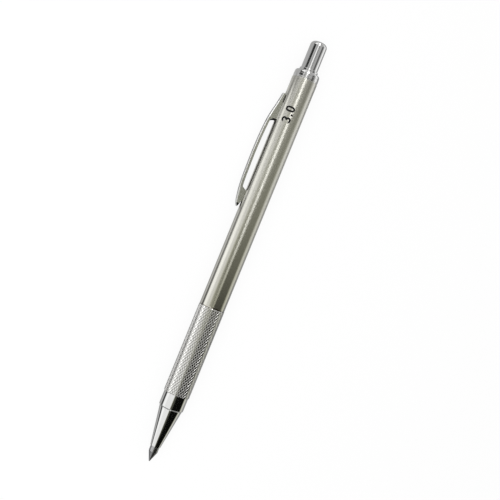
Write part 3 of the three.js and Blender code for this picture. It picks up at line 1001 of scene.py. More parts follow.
@dataclass
class Grip:
    """The turned grip, with its smooth band and its diamond knurl.

    Args:
        band_length: length of the smooth band in front, in mm.
        band_radius: radius of the band.
        around: diamonds round the grip.
        rows: diamonds along the knurl.
        steps: grid steps across a diamond.
        depth: depth of the knurl.
        flat: share of the depth that is left off the crests.
        bore: radius of the threaded bores at both ends.
        waist: radius of the bore between them.
        waist_span: where that bore starts behind the front end, and ends before the rear end.
        edge: size of the band's front bevel.
        mouth: size of the small bevels at both bores.
        seat: from the front end to where the bore's straight wall starts.
        head_cuts: how far the corners of the band are cut back.
        colour: colour of the crests.
        roughness: their roughness.
    """

    band_length: float = 4.8
    band_radius: float = 4.088
    around: int = 32
    rows: int = 22
    steps: int = 8
    depth: float = 0.08
    flat: float = 0.74
    bore: float = 3.59
    waist: float = 3.15
    waist_span: Pair = (7.1, 5.1)
    edge: float = 0.24
    mouth: float = 0.1
    seat: float = 0.4
    head_cuts: Cuts = (0.05, 0.05, 0.06, 0.08, 0.08, 0.02)
    colour: Colour = (0.88, 0.875, 0.85)
    roughness: float = 0.13

    def build(self) -> None:
        """Builds the grip.

        Two sets of grooves cross. With a as the share of a turn times the diamonds round it, and b
        as the distance along over a diamond's length, the sets follow a + b and a - b. Each set's
        height is a triangular wave, cut flat at its crests, and the lower of the two is the knurl.
        Its first and last rows lie at the groove bottoms, which gives both ends a small chamfer.
        Each grid cell is split along the set that it follows, so every diamond has flat sides.
        """
        front, rear = node_span("grip")
        crest = AXIS.z / MM
        start = front + self.band_length
        corners = [
            (front + self.seat, self.bore), (front, self.bore + self.mouth),
            (front, self.band_radius - self.edge), (front + self.edge, self.band_radius),
            (start, self.band_radius), (start, crest - self.depth),
        ]
        head = rounded(corners, self.head_cuts)
        count = self.rows * self.steps + 1
        along = np.linspace(start, rear, count)
        knurl = np.stack([along, np.full(count, crest)], axis=-1)
        narrow, wide = front + self.waist_span[0], rear - self.waist_span[1]
        corners = [
            (rear, crest - self.depth), (rear, self.bore + self.mouth),
            (rear - self.mouth, self.bore), (wide, self.bore), (wide, self.waist),
            (narrow, self.waist), (narrow, self.bore), (front + self.seat + self.mouth, self.bore),
        ]
        bore = rounded(corners, INNER_CUT)
        profile = np.concatenate([head, knurl, bore])
        columns = self.around * self.steps
        a = np.arange(columns)[None, :] / self.steps
        b = np.arange(count)[:, None] / self.steps
        waves = [np.abs(2 * ((a + sign * b) % 1) - 1) for sign in (1, -1)]
        heights = [np.minimum(wave / (1 - self.flat), 1) for wave in waves]
        knurled = np.minimum(*heights)
        knurled[[0, -1]] = 0
        relief = np.zeros((len(profile), columns))
        first = len(head)
        relief[first : first + count] = -self.depth * (1 - knurled)
        skin = ring_skin(profile, relief, columns)
        skin.faces = self.split(skin.faces[0], waves, first, columns)
        finish = KnurledMetal(
            "knurled metal",
            Slot.KNURL,
            self.colour,
            self.roughness,
            groove_radius=crest - self.depth,
            crest_radius=crest,
        )
        piece = show("knurled_grip", skin, finish, Body.BARREL, "grip")
        self.polish_band(piece, start)

    def split(self, quads: Array, waves: list[Array], first: int, columns: int) -> list[Array]:
        """Splits the knurl's quads along the grooves that they follow.

        Args:
            quads: all quads of the grip, a row of columns at a time.
            waves: the two sets' waves on the knurl's points.
            first: the knurl's first row.
            columns: quads in a row.

        Returns:
            The plain quads and the triangles.
        """
        rows = len(waves[0]) - 1
        low, high = first * columns, (first + rows) * columns
        cells = quads[low:high]
        shifts = [(-i, -j) for i in (0, 1) for j in (0, 1)]
        total = [sum(np.roll(wave, shift, (0, 1))[:-1] for shift in shifts) for wave in waves]
        first_lower = (total[0] < total[1]).ravel()
        p, q, r, s = cells[first_lower].T
        rising = np.concatenate([np.stack([p, q, s], -1), np.stack([q, r, s], -1)])
        p, q, r, s = cells[~first_lower].T
        falling = np.concatenate([np.stack([p, q, r], -1), np.stack([p, r, s], -1)])
        plain = np.concatenate([quads[:low], quads[high:]])
        return [plain, rising, falling]

    def polish_band(self, piece: bpy.types.Object, start: float) -> None:
        """Dresses the smooth band in front of the knurl in polished chrome.

        Args:
            piece: the grip.
            start: where the knurl starts, in mm from the point.
        """
        piece.data.materials.append(BAND_CHROME.material())
        centres = np.empty(len(piece.data.polygons) * 3, dtype=np.float32)
        piece.data.polygons.foreach_get("center", centres)
        band = centres[::3] > AXIS.tip - start * MM
        piece.data.polygons.foreach_set("material_index", band.astype(np.int32))


# Chuck and feed


@dataclass
class Chuck:
    """The slit brass collet, its closing ring, and the tubes and the spring behind it.

    Args:
        bore: radius of the jaws' bore in their head, in mm.
        stem_bore: radius of the bore behind the head.
        stem_radius: outer radius of the stem.
        head_radius: largest radius of the jaws' head.
        bevel: length of the bevel in front of the head.
        taper: length of the cone behind it.
        grip_length: length of the narrow bore.
        slit: width of the slits between the jaws.
        jaws: how many jaws there are.
        columns: points across a jaw.
        front_drop: how far the head's front edge lies below its largest radius.
        jaw_cuts: how far a jaw's corners are cut back.
        ring_place: from the head's largest radius back to where the ring bears on the taper.
        ring_fit: gap between the ring and the taper there.
        tube_bore: radius of the lead tube's bore.
        connector_bores: radii of the connector's bores for the stem and for the lead tube.
        connector_seat: from the connector's front end to the step between them.
        connector_cuts: how far its corners are cut back.
        wire: radius of the spring's wire.
        turns: turns of the spring.
        turn_points: sections of wire in a turn.
        sides: points round the wire.
        close_turns: turns at each end that lie closer together.
        close_pace: how fast the wire climbs at its very ends, over its pace between.
    """

    bore: float = 1.55
    stem_bore: float = 1.65
    stem_radius: float = 1.95
    head_radius: float = 2.45
    bevel: float = 0.8
    taper: float = 3.7
    grip_length: float = 4.2
    slit: float = 0.35
    jaws: int = 3
    columns: int = 25
    front_drop: float = 0.25
    jaw_cuts: Cuts = (0.05, 0.08, 0.1, 0.2, 0.02, 0.02, 0.02, 0.02)
    ring_place: float = 1.2
    ring_fit: float = 0.1
    tube_bore: float = 1.75
    connector_bores: Pair = (2.05, 2.25)
    connector_seat: float = 2.4
    connector_cuts: Cuts = (0.05, 0.15, 0.15, 0.05, 0.02, 0.02)
    wire: float = 0.18
    turns: int = 11
    turn_points: int = 36
    sides: int = 12
    close_turns: float = 1.1
    close_pace: float = 0.3

    def jaw(self, number: int) -> Skin:
        """Builds one jaw, a third of a turned ring less half a slit on each side.

        At a radius r the jaw reaches half its share of a turn less the angle whose sine is half a
        slit over r, to each side of its middle, so that its side faces are flat.

        Args:
            number: which jaw, from 0.

        Returns:
            The closed surface.
        """
        front, rear = node_span(f"chuck_jaw_{number + 1}")
        corners = [
            (front, self.bore), (front, self.head_radius - self.front_drop),
            (front + self.bevel, self.head_radius),
            (front + self.bevel + self.taper, self.stem_radius), (rear, self.stem_radius),
            (rear, self.stem_bore), (front + self.grip_length, self.stem_bore),
            (front + self.grip_length, self.bore),
        ]
        loop = rounded(corners, self.jaw_cuts, closed=True)
        half = np.pi / self.jaws - np.arcsin(self.slit / 2 / loop[:, 1:])
        share = np.linspace(-1, 1, self.columns)[None, :]
        angle = 2 * np.pi * number / self.jaws + half * share
        points = AXIS.turn(loop[:, :1], loop[:, 1:] * np.ones_like(share), angle)
        quads = grid_quads(len(loop), self.columns, True, False)
        here = np.arange(len(loop)) * self.columns
        sides = [here[None, :], (here + self.columns - 1)[None, ::-1]]
        return Skin(points.reshape(-1, 3), [quads, *sides])

    def coil(self) -> Skin:
        """Winds the return spring, whose end turns lie closer together.

        Its middle line climbs at a pace that is even between the close turns and falls off evenly
        over them, so its height is the running sum of that pace. The wire's section is a circle.

        Returns:
            The closed surface.
        """
        front, rear = node_span("return_spring")
        wire, turns = self.wire, self.turns
        mean = node_radius("return_spring") - wire
        share = np.linspace(0, 1, turns * self.turn_points + 1)
        ends = np.clip(np.minimum(share, 1 - share) * turns / self.close_turns, 0, 1)
        height = np.cumsum(self.close_pace + (1 - self.close_pace) * ends)
        climb = (height - height[0]) / (height[-1] - height[0])
        along = (front + wire + (rear - front - 2 * wire) * climb)[:, None]
        angle = (2 * np.pi * turns * share)[:, None]
        first = np.arange(self.sides)
        section = (first * 2 * np.pi / self.sides)[None, :]
        points = AXIS.turn(along - wire * np.sin(section), mean + wire * np.cos(section), angle)
        quads = grid_quads(len(share), self.sides, False, True)
        last = first + (len(share) - 1) * self.sides
        return Skin(points.reshape(-1, 3), [quads[:, ::-1], first[None, :], last[None, ::-1]])

    def build(self) -> None:
        """Builds the jaws, the ring, the stem, the connector, the lead tube and the spring."""
        for number in range(self.jaws):
            jaw = f"jaw_{number + 1}"
            show(f"slit_{jaw}", self.jaw(number), BRASS, Body(jaw), f"chuck_{jaw}")

        fall = (self.head_radius - self.stem_radius) * self.ring_place / self.taper
        bore = self.head_radius - fall + self.ring_fit
        plain_tube("turned_clutch_ring", "clutch_ring", bore, BRASS, Body.RING, 0.12)
        plain_tube("turned_stem", "chuck_stem", self.stem_bore, BRASS, Body.FEED)
        plain_tube("drawn_lead_tube", "lead_tube", self.tube_bore, STEEL, Body.FEED)

        node = "tube_connector"
        front, rear = node_span(node)
        outer, seat = node_radius(node), front + self.connector_seat
        small, large = self.connector_bores
        corners = [(front, small), (front, outer), (rear, outer)]
        corners += [(rear, large), (seat, large), (seat, small)]
        turn_ring("turned_connector", node, corners, self.connector_cuts, BRASS, Body.FEED)

        spring = show("coiled_spring", self.coil(), STEEL, Body.BARREL, "return_spring")
        front, rear = node_span("return_spring")
        travel = joint_named("button_press")["range_m"][1] / MM
        anchor = tuple(float(part) for part in AXIS.place(front, 0.0, 0.0))
        keep = (rear - front - travel) / (rear - front)
        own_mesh(spring)


# Barrel


@dataclass
class Barrel:
    """The satin barrel tube, with the bushes in it and the collar behind it.

    Args:
        bore: radius of the tube's bore, in mm.
        radius: outer radius of the tube.
        edge: size of the rounded edges at its ends.
        slot_half: half width of the slot for the clip's tongue.
        slot_front: from the slot's front end to the tube's rear end.
        slot_length: length of that slot.
        slot_columns: grid cells across the slot.
        edge_points: points on a rounded edge.
        margin: from the tube's ends to the first points of its straight wall.
        bush_bore: radius of the joint bush's bore.
        bush_front: its outer radius in the grip.
        bush_cuts: how far its corners are cut back.
        sleeve_bores: radii of the guide sleeve's bores for the stem and for the spring.
        sleeve_radii: its outer radii in front of its flange, on the flange and behind it.
        sleeve_flange: from its front end to both sides of the flange.
        sleeve_seat: from its front end to the seat of the spring.
    """

    bore: float = BARREL_BORE
    radius: float = BARREL_RADIUS
    edge: float = 0.08
    slot_half: float = 1.1
    slot_front: float = 10.5
    slot_length: float = 1.25
    slot_columns: int = 8
    edge_points: int = 5
    margin: float = 0.3
    bush_bore: float = 3.15
    bush_front: float = 3.49
    bush_cuts: Cuts = (0.05, 0.1, 0.02, 0.05, 0.1, 0.05)
    sleeve_bores: Pair = (2.05, 2.75)
    sleeve_radii: Triple = (2.89, 3.49, 3.05)
    sleeve_flange: Pair = (3.3, 4.1)
    sleeve_seat: float = 6.5

    def tube(self) -> Skin:
        """Builds the tube on a grid that leaves out the slot's cells.

        Returns:
            The closed surface.
        """
        front, rear = node_span("barrel_tube")
        slot = (rear - self.slot_front, rear - self.slot_front + self.slot_length)
        s = np.linspace(0, np.pi / 2, self.edge_points)
        lip_along, lip_drop = self.edge * (1 - np.cos(s)), self.edge * (1 - np.sin(s))
        middle = [front + self.margin, *slot, rear - self.margin]
        along = np.concatenate([front + lip_along, middle, rear - lip_along[::-1]])
        drop = np.concatenate([lip_drop, np.zeros(len(middle)), lip_drop[::-1]])
        half = math.asin(self.slot_half / self.radius)
        over_slot = np.linspace(-half, half, self.slot_columns + 1)[:-1]
        others = np.linspace(half, 2 * np.pi - half, SEGMENTS - self.slot_columns)[:-1]
        angles = np.concatenate([over_slot, others])
        columns = len(angles)
        shape = np.ones((len(along), columns))
        outer = AXIS.turn(along[:, None], (self.radius - drop[:, None]) * shape, angles[None, :])
        inner = AXIS.turn(along[:, None], self.bore * shape, angles[None, :])
        keep = np.ones((len(along) - 1, columns), dtype=bool)
        keep[np.searchsorted(along, slot[0]), : self.slot_columns] = False
        quads = grid_quads(len(along), columns, False, True)[keep.ravel()]
        return sheet_skin(outer, inner, quads)

    def build(self) -> None:
        """Builds the tube, the joint bush and the guide sleeve."""
        show("satin_barrel_tube", self.tube(), SATIN, Body.BARREL, "barrel_tube")

        node = "joint_bush"
        front, rear = node_span(node)
        joint, _ = node_span("barrel_tube")
        wide = node_radius(node)
        corners = [(front, self.bush_bore), (front, self.bush_front), (joint, self.bush_front)]
        corners += [(joint, wide), (rear, wide), (rear, self.bush_bore)]
        turn_ring("turned_joint_bush", node, corners, self.bush_cuts, BRASS, Body.BARREL)

        node = "guide_sleeve"
        front, rear = node_span(node)
        start, end = (front + place for place in self.sleeve_flange)
        seat = front + self.sleeve_seat
        narrow, wide = self.sleeve_bores
        neck, flange, back = self.sleeve_radii
        corners = [(front, narrow), (front, neck), (start, neck), (start, flange), (end, flange)]
        corners += [(end, back), (rear, back), (rear, wide), (seat, wide), (seat, narrow)]
        turn_ring("turned_guide_sleeve", node, corners, PLAIN_CUT, BRASS, Body.BARREL)


@dataclass
class RearEnd:
    """The polished collar, the rim of the bush in it, and the push button.

    Args:
        neck: length of the narrow neck between the barrel and the collar's band, in mm.
        neck_drop: how far that neck is below the band.
        band: length of the band.
        line: width and depth of the turned line behind it.
        fullness: power of the sine and cosine of the shoulder's curve, 1 for a quarter ellipse.
        radius: outer radius of the band.
        bore: radius of the collar's bore.
        insert: outer radius of the part that is pressed into the barrel.
        seam: gap between the barrel and the collar.
        shoulder_drop: how far the shoulder starts below the band.
        rim: how far it ends above the bore.
        bore_edge: size of the bevel at the bore's end.
        neck_wall: how far in the neck's front face is drawn out.
        inner_start: from the barrel's end to where the bore's outline starts.
        foot_cuts: how far the insert's corners are cut back.
        band_cuts: the same for the neck, the band and the line.
        curve_points: points on the shoulder's curve.
        rim_bore: radius of the guide rim's bore.
        rim_cuts: how far the guide rim's corners are cut back.
        rim_steps: points on each of them.
        button_end: thickness of the button's end.
        button_bore: radius of its bore.
        button_cuts: how far the corners of its bore and mouth are cut back.
        rounding: radius of its rounded end.
        rounding_points: points on that rounding.
        guard: from the rounding to the last point of the straight side.
    """

    neck: float = 0.4
    neck_drop: float = 0.1
    band: float = 0.95
    line: float = 0.14
    fullness: float = 0.68
    radius: float = 4.19
    bore: float = 3.21
    insert: float = 3.64
    seam: float = 0.02
    shoulder_drop: float = 0.04
    rim: float = 0.06
    bore_edge: float = 0.03
    neck_wall: float = 0.3
    inner_start: float = 2.0
    foot_cuts: Cuts = (0, 0.05, 0.1, 0.02, 0)
    band_cuts: Cuts = (0, 0.08, 0.03, 0.08, 0.06, 0.03, 0.03, 0)
    curve_points: int = 24
    rim_bore: float = 2.87
    rim_cuts: Cuts = (0.03, 0.05, 0.16, 0.05)
    rim_steps: int = 9
    button_end: float = 2.0
    button_bore: float = 2.25
    button_cuts: Cuts = (0, 0.2, 0.06, 0.1, 0)
    rounding: float = 1.4
    rounding_points: int = 16
    guard: float = 0.2

    def collar(self) -> Skin:
        """Turns the collar: an insert, a neck, a band, a turned line and a full shoulder.

        Along the shoulder the distance back goes with a power of an angle's sine, and the radius
        with the same power of its cosine.

        Returns:
            The closed surface.
        """
        front, rear = node_span("rear_collar")
        _, barrel_end = node_span("barrel_tube")
        radius, bore = self.radius, self.bore
        start = barrel_end + self.seam
        step = start + self.neck
        groove = step + self.band
        shoulder = groove + self.line
        neck = radius - self.neck_drop
        corners = [
            (barrel_end - self.inner_start, bore), (front, bore), (front, self.insert),
            (start, self.insert), (start, neck),
        ]
        foot = rounded(corners, self.foot_cuts)
        corners = [
            (start, neck - self.neck_wall), (start, neck), (step, neck), (step, radius),
            (groove, radius), (groove, radius - self.line), (shoulder, radius - self.line),
            (shoulder, radius - self.shoulder_drop),
        ]
        band = rounded(corners, self.band_cuts)
        angle = np.linspace(0, np.pi / 2, self.curve_points)
        low, high = bore + self.rim, radius - self.shoulder_drop
        back = shoulder + (rear - shoulder) * np.sin(angle) ** self.fullness
        out = low + (high - low) * np.maximum(np.cos(angle), 0) ** self.fullness
        end = np.array(
            [(rear, bore + self.bore_edge), (rear - self.bore_edge, bore), (barrel_end, bore)]
        )
        sweep = np.stack([back, out], axis=-1)
        return ring_skin(np.concatenate([foot[:-1], band[1:-1], sweep, end]))

    def build(self) -> None:
        """Builds the collar, the rim and the button."""
        show("polished_collar", self.collar(), CHROME, Body.BARREL, "rear_collar")

        rim = ("polished_guide_rim", "button_guide", self.rim_bore)
        plain_tube(*rim, CHROME, Body.BARREL, self.rim_cuts, self.rim_steps)

        front, rear = node_span("push_button")
        outer = node_radius("push_button")
        angle = np.linspace(0, np.pi / 2, self.rounding_points)
        back = rear - self.rounding * (1 - np.sin(angle))
        dome = np.stack([back, outer - self.rounding * (1 - np.cos(angle))], axis=-1)
        corners = [
            (rear - self.button_end, 0), (rear - self.button_end, self.button_bore),
            (front, self.button_bore), (front, outer), (rear - self.rounding - self.guard, outer),
        ]
        inside = rounded(corners, self.button_cuts)
        profile = np.concatenate([inside, dome, [(rear, 0)]])
        show("polished_button", bar_skin(profile), CHROME, Body.BUTTON, "push_button")


# Clip


@dataclass
class Clip:
    """The clip: one folded sheet with side walls, a foot, a head and a tongue.

    Args:
        rise: greatest height above the barrel, in mm.
        head_width: width at the head.
        foot_width: width at the foot.
        nose_width: width at the very tip.
        sheet: thickness of the sheet.
        bend: outer radius of the two long bends.
        flange: depth of the arm's side walls.
        seat: length of the head that bears on the barrel.
        overhang: from the seat to the rear end.
        heel_gap: gap under that overhang.
        toe: from the front end to where the foot touches.
        foot: length that touches.
        slant: length of the foot's sloping rear edge.
        arch: length of the window's rounded rear end.
        ahead: how much farther front the window ends on the far side.
        barrel: radius of the barrel under it.
        bore: radius of the barrel's bore, which the hook lies in.
        fit: gap between the side walls and the barrel.
        tuck: how far the side walls' lower edges lean in, over their height.
        deep: how far the painted deep shade inside the foot goes on behind it.
        tongue: from the overhang to the front of the tongue.
        tongue_half: half width of the tongue.
        hook: length of the tongue and its hook.
        overlap: how far the tongue goes into the flap.
        inset: from the clip's rear end to the flap's.
        nose_curve: length of the stretch with closer rows at the tip.
        rows: even rows of points along the clip.
        curve_rows: more rows at the window's rounded end and at the tip.
        crease: half the length of a step in the lower edge.
        least_bend: the smallest radius of a bend.
        least_wall: the smallest height of a side wall.
        section_points: points on a side wall, on a bend and across the top.
        edge_bevel: size of the broken edges.
        edge_angle: angle past which an edge is broken, in degrees.
        line: the outer line, as shares of the length from the rear end and of the rise.
    """

    rise: float = 2.9
    head_width: float = 3.7
    foot_width: float = 2.45
    nose_width: float = 1.2
    sheet: float = 0.45
    bend: float = 0.28
    flange: float = 1.1
    seat: float = 5.65
    overhang: float = 2.9
    heel_gap: float = 0.35
    toe: float = 2.2
    foot: float = 3.5
    slant: float = 0.8
    arch: float = 1.0
    ahead: float = 0.4
    barrel: float = BARREL_RADIUS
    bore: float = BARREL_BORE
    fit: float = 0.1
    tuck: float = 0.1
    deep: float = 1.5
    tongue: float = 0.9
    tongue_half: float = 0.9
    hook: float = 2.5
    overlap: float = 0.1
    inset: float = 0.02
    nose_curve: float = 1.4
    rows: int = 140
    curve_rows: tuple[int, int] = (14, 12)
    crease: float = 0.003
    least_bend: float = 0.05
    least_wall: float = 0.01
    section_points: tuple[int, int, int] = (6, 9, 7)
    edge_bevel: float = 0.05
    edge_angle: float = 50.0
    line: tuple[Pair, ...] = (
        (0, 0.3), (0.08, 0.46), (0.2, 0.78), (0.3, 0.92), (0.46, 1), (0.62, 0.99), (0.8, 0.91),
        (0.92, 0.72), (0.97, 0.58), (1, 0.4),
    )

    def spline(self, count: int = 1200) -> tuple[Array, Array]:
        """Works out the outer line as a smooth curve through its points.

        Between two points the curve is the cubic that passes through both, with half the
        difference of the points on either side as its slope at each.

        Args:
            count: how many points to work out.

        Returns:
            Shares of the length from the rear end, and shares of the rise.
        """
        points = np.array(self.line)
        padded = np.concatenate([points[:1], points, points[-1:]])
        place = np.linspace(0, len(points) - 1, count)
        piece = np.minimum(place.astype(int), len(points) - 2)
        t = (place - piece)[:, None]
        a, b, c, d = (padded[piece + i] for i in range(4))
        slope_b, slope_c = (c - a) / 2, (d - b) / 2
        curve = (
            (2 * t**3 - 3 * t**2 + 1) * b
            + (t**3 - 2 * t**2 + t) * slope_b
            + (3 * t**2 - 2 * t**3) * c
            + (t**3 - t**2) * slope_c
        )
        return curve[:, 0], curve[:, 1]

    def lower_edge(
        self, along: Array, top: Array, front: float, rear: float, ahead: float
    ) -> Array:
        """Works out how far down the side walls reach, before the barrel stops them.

        From the front: a slope from the tip down to the foot, the foot, its slanted rear edge, the
        arm's edge that follows the top line, a quarter ellipse, and the head.

        Args:
            along: places along the pencil.
            top: the top line's height at each.
            front: where the clip starts.
            rear: where it ends.
            ahead: how much farther front the head starts on this side.

        Returns:
            The height of the lower edge at each place.
        """
        toe, heel = front + self.toe, front + self.toe + self.foot
        head = rear - self.overhang - self.seat - ahead
        arm = top - self.flange
        tip = self.barrel + self.line[-1][1] * self.rise - self.sheet
        down = tip + (self.barrel - tip) * (along - front) / self.toe
        up = self.barrel + (arm - self.barrel) * np.clip((along - heel) / self.slant, 0, 1)
        share = np.clip((along - (head - self.arch)) / self.arch, 0, 1)
        rear_edge = self.barrel + (arm - self.barrel) * np.sqrt(1 - share**2)
        edge = np.where(along < toe, down, 0.0)
        edge = np.where(along > heel, up, edge)
        edge = np.where(along > head - self.arch, rear_edge, edge)
        return np.where(along >= head, 0.0, edge)

    def channel(self) -> Skin:
        """Builds the folded channel as a sheet between an outer and an inner surface.

        Each section goes up one side wall, round a bend, over the top, round the other bend and
        down. The side walls end at the lower edge, or where they meet the barrel.

        Returns:
            The closed surface.
        """
        front, rear = node_span("clip")
        share, height = self.spline()
        toe, heel = front + self.toe, front + self.toe + self.foot
        head, seat_end = rear - self.overhang - self.seat, rear - self.overhang
        marks = [front, toe, heel, heel + self.slant, head - self.arch, head, seat_end, rear]
        breaks = [
            mark + side * self.crease for mark in (heel, head, seat_end) for side in (-1, 1)
        ]
        turns = [np.linspace(0, np.pi / 2, count) for count in self.curve_rows]
        ellipse = head - self.arch * (1 - np.sin(turns[0]))
        far_end = [head - self.ahead - self.crease]
        tip = front + self.nose_curve * (1 - np.cos(turns[1]))
        even = np.linspace(front, rear, self.rows)
        rows = [marks, breaks, ellipse, ellipse - self.ahead, far_end, tip, even]
        along = np.unique(np.round(np.concatenate(rows), 5))[::-1]
        from_rear = (rear - along) / (rear - front)
        top = self.barrel + np.interp(from_rear, share, height) * self.rise
        plain = self.head_width / 2 + (self.foot_width - self.head_width) / 2 * from_rear
        nose = self.nose_width / 2
        near = np.minimum((1 - from_rear) * (rear - front) / (self.foot_width / 2), 1)
        half = nose + (plain - nose) * np.sqrt(1 - (1 - near) ** 2)
        lows = [self.lower_edge(along, top, front, rear, ahead) for ahead in (0.0, self.ahead)]
        seat = np.where(along > seat_end, self.barrel + self.heel_gap, self.barrel + self.fit)

        def section(inset: float) -> Array:
            """Gives one surface's points, that far inside the outer one."""
            bend = np.minimum(self.bend, half - self.least_bend)[:, None] - inset
            bend = np.maximum(bend, self.least_bend)
            wide, high = half[:, None] - inset, top[:, None] - inset
            stop = np.sqrt(np.maximum(seat[:, None] ** 2 - wide**2, 0))
            on_wall, on_bend, on_top = self.section_points
            up = np.linspace(0, 1, on_wall)[None, :]
            arc = np.linspace(0, np.pi / 2, on_bend)[None, 1:]
            flat = np.linspace(1, -1, on_top)[None, 1:-1]
            bases = [
                np.minimum(np.maximum(low[:, None], stop), high - bend - self.least_wall)
                for low in lows
            ]
            walls = [high - bend - base for base in bases]
            near, far = (base + wall * up for base, wall in zip(bases, walls))
            near_side, far_side = (wide - self.tuck * wall * (1 - up) for wall in walls)
            bend_out, bend_side = high - bend + bend * np.sin(arc), wide - bend + bend * np.cos(arc)
            level = high * np.ones_like(flat)
            out = [near, bend_out, level, bend_out[:, ::-1], far[:, ::-1]]
            side = [near_side, bend_side, (wide - bend) * flat, -bend_side[:, ::-1]]
            side.append(-far_side[:, ::-1])
            return AXIS.place(along[:, None], np.concatenate(out, 1), np.concatenate(side, 1))

        outer, inner = section(0.0), section(self.sheet)
        quads = grid_quads(outer.shape[0], outer.shape[1], False, False)
        return sheet_skin(outer, inner, quads)

    def block(self, along: Array, low: Array, high: Array, half: float) -> Skin:
        """Builds a strip of sheet that lies between two heights at each place.

        Args:
            along: places along the pencil, going back.
            low: height of the under side at each.
            high: height of the top side at each.
            half: half of its width.

        Returns:
            The closed surface.
        """
        side = np.array([half, -half])[None, :]
        top = AXIS.place(along[:, None], high[:, None], side)
        under = AXIS.place(along[:, None], low[:, None], side)
        return sheet_skin(top, under, grid_quads(len(along), 2, False, False)[:, ::-1])

    def build(self) -> None:
        """Builds the channel, the flap in its head, and the tongue with its hook."""
        front, rear = node_span("clip")
        tongue = rear - self.overhang - self.tongue
        step = tongue + self.sheet
        flap_low = self.barrel + self.heel_gap
        hook_low = self.bore - 2 * self.heel_gap - self.sheet / 2
        flap = self.block(
            np.array([tongue, rear - self.inset]),
            np.full(2, flap_low),
            np.full(2, flap_low + self.sheet),
            self.head_width / 2 - self.sheet,
        )
        strap = self.block(
            np.array([tongue, step, step + MM, tongue + self.hook]),
            np.full(4, hook_low),
            np.repeat([flap_low + self.overlap, hook_low + self.sheet], 2),
            self.tongue_half,
        )
        channel = self.channel()
        piece = show("folded_clip", channel + flap + strap, PRESSED, Body.CLIP, "clip")
        self.paint_inner_shade(piece, len(channel.faces[0]), front, rear)
        bevel = piece.modifiers.new("broken edges", "BEVEL")
        bevel.width = self.edge_bevel * MM
        bevel.segments = 2
        bevel.limit_method = "ANGLE"
        bevel.angle_limit = math.radians(self.edge_angle)
        bevel.harden_normals = False

    def paint_inner_shade(self, piece: bpy.types.Object, count: int, front: float, rear: float) -> None:
        """Paints shade on the inner faces: dark chrome on the arm's, near black on those in the
        foot and in the head.

        Args:
            piece: the clip, whose mesh lists the channel's outer faces and then its inner ones.
            count: how many outer faces there are.
            front: where the clip starts, in mm from the point.
            rear: where it ends.
        """
        piece.data.materials.append(DULL_SHADE.material())
        piece.data.materials.append(SHADED.material())
        slots = np.zeros(len(piece.data.polygons), dtype=np.int32)
        middles = np.empty(3 * len(slots))
        piece.data.polygons.foreach_get("center", middles)
        along = AXIS.along(middles[::3])
        arm_start = front + self.toe + self.foot + self.slant - self.deep
        arm_end = rear - self.overhang - self.seat - self.arch - self.ahead
        inside = slice(count, 2 * count)
        # inner faces get painted shade: dark chrome on the arm, near black in the foot and in the
        # head
        slots[inside] = np.where((along < arm_start) | (along > arm_end), 2, 1)[inside]
        piece.data.polygons.foreach_set("material_index", slots)


# Printed number


